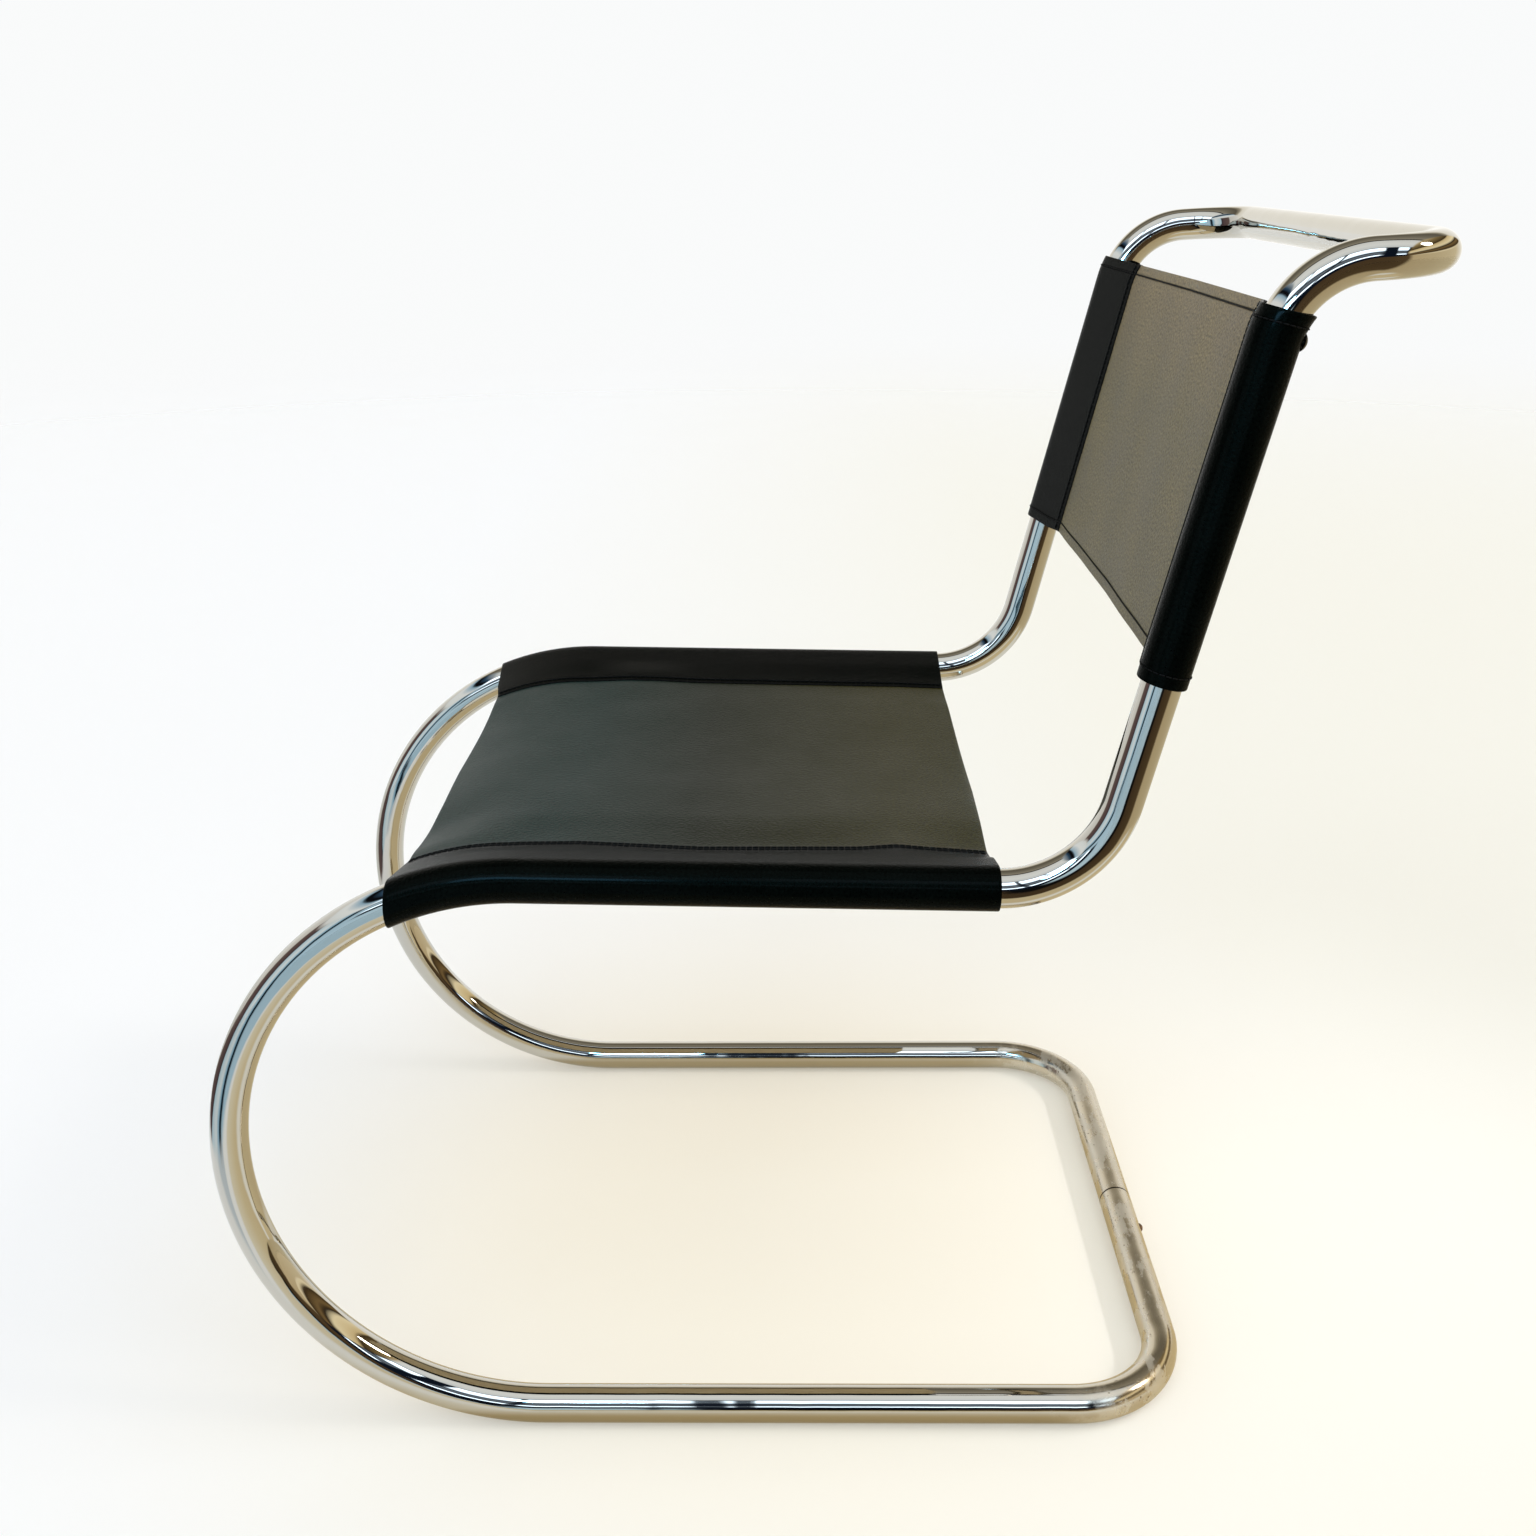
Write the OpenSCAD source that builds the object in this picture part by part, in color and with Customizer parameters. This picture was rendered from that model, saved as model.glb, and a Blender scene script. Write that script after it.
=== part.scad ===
// Cantilever lounge chair: one bent steel tube with two leather slings.
// +Z is up, the sitter faces -Y and the sitter's left is +X.
// The origin is on the floor, under the middle of the bounding box.

/* [Tube] */
// Outside diameter of the frame tube
tube_d = 25; // [20:0.5:30]
// Wall of the frame tube
tube_wall = 2; // [1.5:0.25:3]

/* [Frame] */
// Width over the two sides of the frame
frame_w = 485; // [440:5:560]
// Height of the top rail above the floor
frame_h = 795; // [770:5:860]
// Length of the frame on the floor, from the front of the bows to the rear bar
floor_l = 661; // [560:1:720]
// Height of the seat rail at its front end
seat_h = 420; // [405:1:435]
// Straight length of the seat rail
seat_rail = 300; // [270:5:340]
// Straight stretch of the arm between its two bends
arm_run = 2; // [1:1:30]

/* [Bends, on the centre line of the tube] */
// Radius of the lower half of the bow
bow_low_r = 200.5; // [190:0.5:210]
// Slope of the seat rail down to the rear, in degrees
seat_slope = 1.25; // [0:0.25:3]
// Radius of the bend between the seat and the back
seat_bend_r = 75; // [60:1:85]
// Lean of the back post, in degrees above level
back_angle = 76; // [72:1:80]
// Radius of the bend at the top of the back post
top_bend_r = 58; // [50:1:70]
// Rise of the arm, in degrees above level
arm_rise = 3; // [0:0.5:6]
// Radius of the corners of the top rail
rail_corner_r = 45; // [35:1:60]
// Radius of the corners of the floor bar
floor_corner_r = 72; // [50:1:100]

/* [Floor bar joint] */
// Gap between the two ends of the tube
seam_gap = 0.4; // [0.2:0.1:1]
// Length of the plug inside the tube
spigot_l = 110; // [100:5:160]
// Clearance round the plug
spigot_fit = 0.05; // [0.02:0.01:0.1]
// Distance of the locking screw from the seam
screw_x = 36; // [20:1:40]
// Thread diameter of the locking screw
screw_d = 5; // [4:0.5:6]
// Head diameter of the locking screw
screw_head_d = 7; // [6.5:0.5:9]
// Head height of the locking screw
screw_head_h = 2.6; // [2:0.2:3.4]

/* [Slings] */
// Thickness of the hide
hide_t = 1.8; // [1.4:0.1:2.4]
// Distance from the centre of the tube to the sewn seam
seam_x = 52; // [44:1:60]
// Width of the sewn seam
seam_w = 10; // [8:1:14]
// Slack of the seat sleeves round the tube
seat_slack = 0.2; // [0.2:0.1:1]
// Slack of the back sleeves round the tube
back_slack = 1.2; // [0.4:0.1:2]
// Sag of the seat panel
seat_sag = 4; // [1:1:12]
// Sag of the back panel
back_sag = 5; // [1:1:12]
// Straight length of the seat sling, from the front end of the seat rail
seat_sling_run = 303; // [250:1:304]
// Part of the bow that the seat sling wraps, in degrees
seat_wrap_angle = 24.5; // [10:0.5:35]
// Straight length of the back sling, below the top bend
back_sling_run = 210; // [180:5:230]
// Part of the top bend that the back sling wraps, in degrees
back_wrap_angle = 16.8; // [14:0.4:25]
// Width of the turned hems of the back panel
hem_w = 12; // [10:0.5:13]
// Distance of the hem thread from the edge of the back
hem_row = 8; // [5:0.5:9]

/* [Thread and studs] */
// Width of a thread row
thread_w = 0.8; // [0.5:0.1:1.2]
// Height of a thread row above the hide
thread_h = 0.5; // [0.3:0.1:0.8]
// Distance of the outer thread rows from the edges of the seam
row_inset = 2.8; // [2:0.1:3]
// Head diameter of a back stud
stud_head_d = 10.5; // [8:0.5:12]
// Head height of a back stud
stud_head_h = 2.4; // [1.6:0.2:3]
// Shank diameter of a back stud
stud_d = 4; // [3:0.5:5]
// Length of a back stud inside the tube
stud_reach = 3; // [2:0.5:6]
// Height of the studs above the lower end of the top bend, along the tube
stud_rise = 2.8; // [2.6:0.1:6]

/* [Hidden] */
$fn = 96;

chrome = "#c9ccd0";
plug_steel = "#8e9196";
screw_steel = "#6f5a45";
leather = "#1d1e1e";
sleeve_leather = "#141515";
thread = "#0b0b0b";

tube_r = tube_d / 2;
bore_r = tube_r - tube_wall;
side_x = frame_w / 2 - tube_r;
overrun = 1;
// Gap that keeps the sprung and the floor part of the bow apart where the frame flexes
flex_gap = 0.1;
// Each straight part of the tube is slimmer than the bends by this and goes this far into them,
// so that bend and straight part join as one solid.
run_trim = 0.05;
run_lap = 0.5;
// Clearance between a hide and the tube that it pulls against, and round a fastener
touch_gap = 0.2;
// Clearance between a turned hem and the panel that it is turned from
hem_gap = 0.1;
fastener_fit = 0.05;
slot_w = 1.2;
slot_depth = 1;
spigot_chamfer = 1.5;
sag_steps = 24;

// A place on the side of the frame is [y, z, heading]: y from the foremost point of the tube's
// centre line, z from the floor, and the heading in degrees, 0 to the rear and 90 up.
function lift(heading) = [-sin(heading), cos(heading)];
function go(place, l) = [place[0] + l * cos(place[2]), place[1] + l * sin(place[2]), place[2]];
function turned(place, r, turn) =
    let (side = sign(turn) * r,
         to = place[2] + turn,
         spot = [place[0], place[1]] + side * lift(place[2]) - side * lift(to))
    [spot[0], spot[1], to];

// The turn of a bend, in degrees, that is a given length long on its centre line
function turn_of(l, r) = l / r * 180 / PI;

seat_z = seat_h - tube_r;
cut_z = tube_r + bow_low_r;
bow_high_r = (seat_z - cut_z) / cos(seat_slope);

// Down from the cut at the front of the bow to the floor
floor_cut = [0, cut_z, -90];
floor_front = turned(floor_cut, bow_low_r, 90);
floor_run = floor_l - tube_d - floor_corner_r - floor_front[0];
floor_corner = go(floor_front, floor_run);

// Up from the cut to the top rail
sprung_cut = [0, cut_z, 90];
bow_angle = sprung_cut[2] + seat_slope;
seat_front = turned(sprung_cut, bow_high_r, -bow_angle);
seat_rear = go(seat_front, seat_rail);
seat_bend_angle = back_angle + seat_slope;
post_foot = turned(seat_rear, seat_bend_r, seat_bend_angle);
top_bend_angle = back_angle - arm_rise;
rail_z = frame_h - tube_r;
arm_l = arm_run + rail_corner_r;
post_l = (rail_z - turned(post_foot, top_bend_r, -top_bend_angle)[1] - arm_l * sin(arm_rise))
         / sin(back_angle);
post_top = go(post_foot, post_l);
arm_foot = turned(post_top, top_bend_r, -top_bend_angle);
rail_corner = go(arm_foot, arm_run);
frame_depth = go(arm_foot, arm_l)[0] + tube_d;
front_y = tube_r - frame_depth / 2;
floor_bar_y = front_y + floor_l - tube_d;

// Puts the children at a place on the left side of the frame: their Z runs along the tube,
// their X points to the middle of the chair and their Y to the sitter.
module at(place) {
    translate([side_x, front_y + place[0], place[1]])
        rotate([place[2] - 90, 0, 0])
            rotate([0, 0, 180])
                children();
}

// Sweeps a section along a bend away from the sitter, from one turn to another
module bend(r, from, to) {
    translate([0, -r, 0])
        rotate([90, 0, 90])
            rotate([0, 0, from])
                rotate_extrude(angle = to - from)
                    translate([r, 0])
                        rotate(90)
                            mirror([0, 1])
                                children();
}

// A bend of the tube away from the sitter
module tube_bend(r, turn) {
    bend(r, 0, turn)
        tube_section(0);
}

module tube_run(l) {
    translate([0, 0, -run_lap])
        linear_extrude(height = l + 2 * run_lap)
            tube_section(run_trim);
}

module tube_section(trim) {
    difference() {
        circle(r = tube_r - trim);
        circle(r = bore_r + trim);
    }
}

module on_both_sides() {
    children();
    mirror([1, 0, 0])
        children();
}

// A level run of tube along X between two places across the chair
module cross_run(from_x, to_x, y, z) {
    translate([from_x, y, z])
        rotate([0, 90, 0])
            tube_run(to_x - from_x);
}

module floor_side() {
    at(floor_cut)
        rotate([0, 0, 180])
            bend(bow_low_r, turn_of(flex_gap, bow_low_r), 90)
                tube_section(0);
    at(floor_front)
        tube_run(floor_run);
    at(floor_corner)
        rotate([0, 0, 90])
            tube_bend(floor_corner_r, 90);
    cross_run(seam_gap / 2 + run_lap, side_x - floor_corner_r, floor_bar_y, tube_r);
}

module screw_axis() {
    translate([screw_x, floor_bar_y, tube_r])
        rotate([-90, 0, 0])
            children();
}

module floor_tube_left() {
    color(chrome)
        difference() {
            floor_side();
            screw_axis()
                cylinder(h = tube_d, r = screw_d / 2 + fastener_fit);
        }
}

module floor_tube_right() {
    color(chrome)
        mirror([1, 0, 0])
            floor_side();
}

module sprung_side() {
    at(sprung_cut)
        tube_bend(bow_high_r, bow_angle);
    at(seat_front)
        tube_run(seat_rail);
    at(seat_rear)
        rotate([0, 0, 180])
            tube_bend(seat_bend_r, seat_bend_angle);
    at(post_foot)
        tube_run(post_l);
    at(post_top)
        tube_bend(top_bend_r, top_bend_angle);
    at(arm_foot)
        tube_run(arm_run);
    at(rail_corner)
        rotate([0, 0, 90])
            tube_bend(rail_corner_r, 90);
}

module sprung_frame() {
    rail_half = side_x - rail_corner_r;
    color(chrome)
        difference() {
            union() {
                on_both_sides()
                    sprung_side();
                cross_run(-rail_half, rail_half, front_y + frame_depth - tube_d, rail_z);
            }
            on_both_sides()
                stud_axis()
                    cylinder(h = tube_d, r = stud_d / 2 + fastener_fit);
        }
}

// The plug is chamfered at both ends so that the tube slides over it.
module floor_spigot() {
    plug_r = bore_r - spigot_fit;
    tip_r = plug_r - spigot_chamfer;
    color(plug_steel)
        difference() {
            translate([-spigot_l / 2, floor_bar_y, tube_r])
                rotate([0, 90, 0])
                    rotate_extrude()
                        polygon([[0, 0], [tip_r, 0], [plug_r, spigot_chamfer],
                                 [plug_r, spigot_l - spigot_chamfer], [tip_r, spigot_l],
                                 [0, spigot_l]]);
            screw_axis()
                cylinder(h = tube_d, r = screw_d / 2 + fastener_fit);
        }
}

// A domed head of a given diameter and height, standing on the plane z = 0
module domed_head(d, h) {
    dome_r = (d * d / 4 + h * h) / (2 * h);
    intersection() {
        translate([0, 0, h - dome_r])
            sphere(r = dome_r);
        cylinder(h = h, r = d / 2);
    }
}

module spigot_screw() {
    color(screw_steel)
        screw_axis() {
            difference() {
                translate([0, 0, tube_r])
                    domed_head(screw_head_d, screw_head_h);
                translate([-screw_head_d / 2, -slot_w / 2, tube_r + screw_head_h - slot_depth])
                    cube([screw_head_d, slot_w, slot_depth + overrun]);
            }
            cylinder(h = tube_r, r = screw_d / 2);
        }
}

// The outline of a sleeve: a circle round the tube, drawn out to the seam by two straight lines.
module teardrop(r, shift, tip_x, tip_y) {
    reach = [tip_x - shift, tip_y];
    angle = atan2(reach[1], reach[0]) + acos(r / norm(reach));
    touch = [shift + r * cos(angle), r * sin(angle)];
    translate([shift, 0])
        circle(r = r);
    polygon([touch, [tip_x, tip_y], [tip_x, -tip_y], [touch[0], -touch[1]], [shift, 0]]);
}

// The section of a sleeve: the hide goes round the tube and clamps the edge of the panel.
module sleeve_section(slack) {
    inner_r = tube_r + slack;
    shift = slack - touch_gap;
    seam_y = hide_t / 2;
    difference() {
        union() {
            teardrop(inner_r + hide_t, shift, seam_x, seam_y + hide_t);
            translate([seam_x, -seam_y - hide_t])
                square([seam_w, 3 * hide_t]);
        }
        teardrop(inner_r, shift, seam_x, seam_y);
        translate([seam_x, -seam_y])
            square([seam_w + overrun, hide_t]);
    }
}

panel_from = seam_x + seam_w;
panel_to = 2 * side_x - panel_from;
function sag_x(i) = panel_from + (panel_to - panel_from) * i / sag_steps;
function sag_y(i, sag) = -sag * (1 - cos(360 * i / sag_steps)) / 2;

// A layer that follows the sagging panel between the seams, from one height over it to another
module sagging_section(sag, low, high) {
    top = [for (i = [0 : sag_steps]) [sag_x(i), sag_y(i, sag) + high]];
    under = [for (i = [sag_steps : -1 : 0]) [sag_x(i), sag_y(i, sag) + low]];
    polygon(concat(top, under));
}

// The panel lies flat in the seams and sags between them.
module panel_section(sag) {
    sagging_section(sag, -hide_t / 2, hide_t / 2);
    for (x = [seam_x, panel_to])
        translate([x, -hide_t / 2])
            square([seam_w, hide_t]);
}

// The two thread rows of one seam, on both faces of the sleeve
module seam_rows_section() {
    seam_top = hide_t * 3 / 2;
    for (x = [seam_x + row_inset, seam_x + seam_w - row_inset], y = [-seam_top - thread_h, seam_top])
        translate([x - thread_w / 2, y])
            square([thread_w, thread_h]);
}

// Sweeps a section along the seat sling, from the bow to the rear end of the seat
module along_seat() {
    at(seat_front) {
        mirror([0, 0, 1])
            bend(bow_high_r, 0, seat_wrap_angle)
                children();
        linear_extrude(height = seat_sling_run)
            children();
    }
}

// Sweeps a section along a straight stretch of the back sling, measured up from its lower edge
module up_back(from, to) {
    at(post_top)
        translate([0, 0, from - back_sling_run])
            linear_extrude(height = to - from)
                children();
}

// Sweeps a section over a stretch of the top bend, measured down from the upper edge of the sling
module down_back(from, to) {
    at(post_top)
        bend(top_bend_r, back_wrap_angle - turn_of(to, top_bend_r),
             back_wrap_angle - turn_of(from, top_bend_r))
            children();
}

// Sweeps a section along the back sling, from its lower to its upper edge
module along_back() {
    up_back(0, back_sling_run)
        children();
    at(post_top)
        bend(top_bend_r, 0, back_wrap_angle)
            children();
}

module seat_panel() {
    color(leather)
        along_seat()
            panel_section(seat_sag);
}

module seat_sleeve() {
    color(sleeve_leather)
        along_seat()
            sleeve_section(seat_slack);
}

module seat_sleeve_left() {
    seat_sleeve();
}

module seat_sleeve_right() {
    mirror([1, 0, 0])
        seat_sleeve();
}

module seat_stitching() {
    color(thread)
        on_both_sides()
            along_seat()
                seam_rows_section();
}

module back_panel() {
    color(leather)
        along_back()
            panel_section(back_sag);
}

// The stud stands a little above the straight post, on the rear face of the bend.
module stud_axis() {
    at(turned(post_top, top_bend_r, -turn_of(stud_rise, top_bend_r)))
        rotate([90, 0, 0])
            children();
}

// The head stands clear of the hollow side of the bend that it is on.
hollow_r = top_bend_r - tube_r - back_slack - hide_t;
stud_seat = top_bend_r - sqrt(pow(hollow_r, 2) - pow(stud_head_d / 2, 2)) + fastener_fit;

module back_sleeve() {
    color(sleeve_leather)
        difference() {
            along_back()
                sleeve_section(back_slack);
            stud_axis()
                cylinder(h = tube_d, r = stud_d / 2 + fastener_fit);
        }
}

module back_sleeve_left() {
    back_sleeve();
}

module back_sleeve_right() {
    mirror([1, 0, 0])
        back_sleeve();
}

module hem_section() {
    sagging_section(back_sag, -hide_t * 3 / 2, -hide_t / 2 - hem_gap);
}

module back_hem_top() {
    color(leather)
        down_back(0, hem_w)
            hem_section();
}

module back_hem_bottom() {
    color(leather)
        up_back(0, hem_w)
            hem_section();
}

module hem_row_section() {
    sagging_section(back_sag, hide_t / 2, hide_t / 2 + thread_h);
}

module back_stitching() {
    color(thread) {
        on_both_sides()
            along_back()
                seam_rows_section();
        up_back(hem_row, hem_row + thread_w)
            hem_row_section();
        down_back(hem_row, hem_row + thread_w)
            hem_row_section();
    }
}

module back_stud() {
    color(plug_steel)
        stud_axis() {
            translate([0, 0, stud_seat])
                domed_head(stud_head_d, stud_head_h);
            translate([0, 0, bore_r - stud_reach])
                cylinder(h = stud_seat - bore_r + stud_reach, r = stud_d / 2);
        }
}

module back_stud_left() {
    back_stud();
}

module back_stud_right() {
    mirror([1, 0, 0])
        back_stud();
}

floor_tube_left();
floor_tube_right();
sprung_frame();
floor_spigot();
spigot_screw();
seat_panel();
seat_sleeve_left();
seat_sleeve_right();
seat_stitching();
back_panel();
back_sleeve_left();
back_sleeve_right();
back_hem_top();
back_hem_bottom();
back_stitching();
back_stud_left();
back_stud_right();
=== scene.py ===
from functools import partial
from math import acos, atan2, cos, hypot, pi, radians, sin

import bpy
import numpy as np
from mathutils import Matrix, Vector


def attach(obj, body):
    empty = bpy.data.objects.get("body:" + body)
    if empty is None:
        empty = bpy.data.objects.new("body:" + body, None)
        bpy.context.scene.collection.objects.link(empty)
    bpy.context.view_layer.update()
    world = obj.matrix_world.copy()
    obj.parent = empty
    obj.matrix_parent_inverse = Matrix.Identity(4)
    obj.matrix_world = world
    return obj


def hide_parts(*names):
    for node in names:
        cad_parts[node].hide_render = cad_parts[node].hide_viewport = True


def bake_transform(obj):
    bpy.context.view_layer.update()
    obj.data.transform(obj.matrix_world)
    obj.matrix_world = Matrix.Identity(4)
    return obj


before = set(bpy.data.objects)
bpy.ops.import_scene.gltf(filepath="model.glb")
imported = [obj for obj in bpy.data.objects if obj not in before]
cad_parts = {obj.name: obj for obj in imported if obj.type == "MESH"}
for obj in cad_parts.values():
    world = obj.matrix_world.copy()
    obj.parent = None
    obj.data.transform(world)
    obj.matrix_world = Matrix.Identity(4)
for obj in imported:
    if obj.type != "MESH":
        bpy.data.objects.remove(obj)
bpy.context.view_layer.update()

MM = 0.001

# The tube, and how wide, deep and long on the floor the frame is
TUBE_R = 12.5 * MM
TUBE_WALL = 2 * MM
FRAME_W = 485 * MM
FRAME_DEPTH = 767.706 * MM
FLOOR_L = 661 * MM
SEAM_GAP = 0.4 * MM

# The runs and bends of the tube's centre line, from the floor to the top rail. A heading is the
# tube's rise above level, on its way to the rear.
FLOOR_CORNER_R = 72 * MM
LOW_BOW_R = 200.5 * MM
HIGH_BOW_R = 194.546 * MM
SEAT_RAIL = 300 * MM
SEAT_HEADING = radians(-1.25)
SEAT_BEND_R = 75 * MM
BACK_HEADING = radians(76)
POST_RUN = 286.879 * MM
TOP_BEND_R = 58 * MM
ARM_HEADING = radians(3)
ARM_RUN = 2 * MM
RAIL_CORNER_R = 45 * MM

SIDE_X = FRAME_W / 2 - TUBE_R
FLOOR_Z = TUBE_R
FLOOR_BAR_Y = FLOOR_L - FRAME_DEPTH / 2 - TUBE_R
BOW_MIDDLE_Z = FLOOR_Z + LOW_BOW_R
LOW_BOW_Y = LOW_BOW_R + TUBE_R - FRAME_DEPTH / 2
FLOOR_RUN = FLOOR_BAR_Y - FLOOR_CORNER_R - LOW_BOW_Y
HIGH_BOW_Y = LOW_BOW_Y - LOW_BOW_R + HIGH_BOW_R

# The hide slings. A seam's place is measured inboard, from the centre of the tube.
HIDE_T = 1.8 * MM
SEAM_FROM_TUBE = 52 * MM
SEAM_W = 10 * MM
LAYERS = 2 * MM
PULL = 0.2 * MM
SEAT_SLACK = 0.2 * MM
SEAT_CREASE_LIFT = 0.7 * MM
SEAT_WRAP = radians(24.5)
SEAT_STRAIGHT = 303 * MM
SEAT_SAG = 4 * MM
BACK_SLACK = 1.2 * MM
BACK_CREASE_LIFT = -2.5 * MM
BACK_STRAIGHT = 210 * MM
BACK_WRAP = radians(16.8)
BACK_SAG = 1.8 * MM
CUT_EDGE_ROUND = 0.6 * MM
HEM_W = 12 * MM
HEM_ROW = 8 * MM
HEM_GAP = 0.1 * MM

# Thread
SEAM_ROWS = (54.1 * MM, 59.9 * MM)
STITCH_PITCH = 4 * MM
STITCH_ENDS = (0.06, 0.94)
THREAD_D = 1 * MM
THREAD_LIFT = 0.2 * MM
THREAD_INSET = 1.5 * MM
SLEEVE_PAST_ROW = 1.2 * MM


def lift(heading):
    return Vector((0, -sin(heading), cos(heading)))


def ahead(heading):
    return Vector((0, cos(heading), sin(heading)))


# Where one run of the centre line meets the next, seen from the side of the chair
SEAT_START = Vector((0, HIGH_BOW_Y, BOW_MIDDLE_Z)) + HIGH_BOW_R * lift(SEAT_HEADING)
SEAT_END = SEAT_START + SEAT_RAIL * ahead(SEAT_HEADING)
SEAT_BEND_MIDDLE = SEAT_END + SEAT_BEND_R * lift(SEAT_HEADING)
POST_FOOT = SEAT_BEND_MIDDLE - SEAT_BEND_R * lift(BACK_HEADING)
POST_TOP = POST_FOOT + POST_RUN * ahead(BACK_HEADING)
TOP_BEND_MIDDLE = POST_TOP - TOP_BEND_R * lift(BACK_HEADING)
ARM_START = TOP_BEND_MIDDLE + TOP_BEND_R * lift(ARM_HEADING)
ARM_END = ARM_START + ARM_RUN * ahead(ARM_HEADING)


# Working by hand on one piece at a time
def deselect():
    if bpy.context.object and bpy.context.object.mode != "OBJECT":
        bpy.ops.object.mode_set(mode="OBJECT")
    bpy.ops.object.select_all(action="DESELECT")


def only(piece):
    deselect()
    piece.select_set(True)
    bpy.context.view_layer.objects.active = piece


def settle(piece):
    only(piece)
    bpy.ops.object.transform_apply(location=True, rotation=True, scale=True)


def apply_modifier(piece, kind, **settings):
    only(piece)
    modifier = piece.modifiers.new(kind.title(), kind)
    for name, value in settings.items():
        setattr(modifier, name, value)
    bpy.ops.object.modifier_apply(modifier=modifier.name)


def wear(piece, material):
    piece.data.materials.clear()
    piece.data.materials.append(material)


# Camera, fitted to the photograph: its place in the frame's own axes, and its lens and centre in
# pixels of a square picture
CAMERA_SPOT = Vector((1165.0, -3.0, 837.8)) * MM
CAMERA_PITCH = radians(16.942)
CAMERA_YAW = radians(-1.008)
CAMERA_ROLL = radians(-0.628)
PICTURE_SIZE = 1536
FOCAL_LENGTH = 1641.5
CENTRE_ACROSS = 758.8
CENTRE_DOWN = 655.5
SENSOR_MM = 36


def add_camera():
    pitch, yaw, roll = CAMERA_PITCH, CAMERA_YAW, CAMERA_ROLL
    look = Vector((-cos(yaw) * cos(pitch), sin(yaw) * cos(pitch), -sin(pitch)))
    level = Vector((sin(yaw), cos(yaw), 0))
    rise = level.cross(look)
    right = cos(roll) * level + sin(roll) * rise
    up = cos(roll) * rise - sin(roll) * level
    data = bpy.data.cameras.new("photo_camera")
    data.sensor_width = SENSOR_MM
    data.lens = FOCAL_LENGTH * SENSOR_MM / PICTURE_SIZE
    data.shift_x = 0.5 - CENTRE_ACROSS / PICTURE_SIZE
    data.shift_y = CENTRE_DOWN / PICTURE_SIZE - 0.5
    data.clip_start = 0.01
    data.clip_end = 60
    camera = bpy.data.objects.new("photo_camera", data)
    bpy.context.scene.collection.objects.link(camera)
    turn = Matrix((right, up, -look)).transposed().to_4x4()
    camera.matrix_world = Matrix.Translation(CAMERA_SPOT) @ turn
    bpy.context.scene.camera = camera


# Materials. The colour sockets of a Mix node have no names of their own, so they get some here.
FACTOR, UNDER, OVER = 0, 6, 7
MIXED = 2


def colour(hex_value):
    parts = [int(hex_value[i:i + 2], 16) / 255 for i in (0, 2, 4)]
    return tuple(part / 12.92 if part <= 0.04045 else ((part + 0.055) / 1.055) ** 2.4
                 for part in parts) + (1,)


def grey(level):
    return (level, level, level, 1)


# Adds a node: its links come in by socket, its values are constants by socket, and the stops are
# those of a colour ramp
def add_node(tree, kind, links=None, values=None, stops=None, **settings):
    node = tree.nodes.new(kind)
    for name, value in settings.items():
        setattr(node, name, value)
    for socket, value in (values or {}).items():
        node.inputs[socket].default_value = value
    for socket, source in (links or {}).items():
        tree.links.new(source, node.inputs[socket])
    if stops:
        elements = node.color_ramp.elements
        elements.remove(elements[1])
        elements[0].position, elements[0].color = stops[0]
        for place, tone in stops[1:]:
            elements.new(place).color = tone
    return node


def new_material(name, values):
    material = bpy.data.materials.new(name)
    material.use_nodes = True
    tree = material.node_tree
    shader = tree.nodes["Principled BSDF"]
    for socket, value in values.items():
        shader.inputs[socket].default_value = value
    return material, tree, shader


# How much of a share is left between edges, each of which is a coordinate, where it starts and
# where it is full
def between(tree, share, easing, edges):
    for source, start, full in edges:
        edge = add_node(tree, "ShaderNodeMapRange", {"Value": source},
                        {"From Min": start, "From Max": full}, interpolation_type=easing)
        share = add_node(tree, "ShaderNodeMath", {0: share, 1: edge.outputs[0]},
                         operation="MULTIPLY").outputs[0]
    return share


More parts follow.
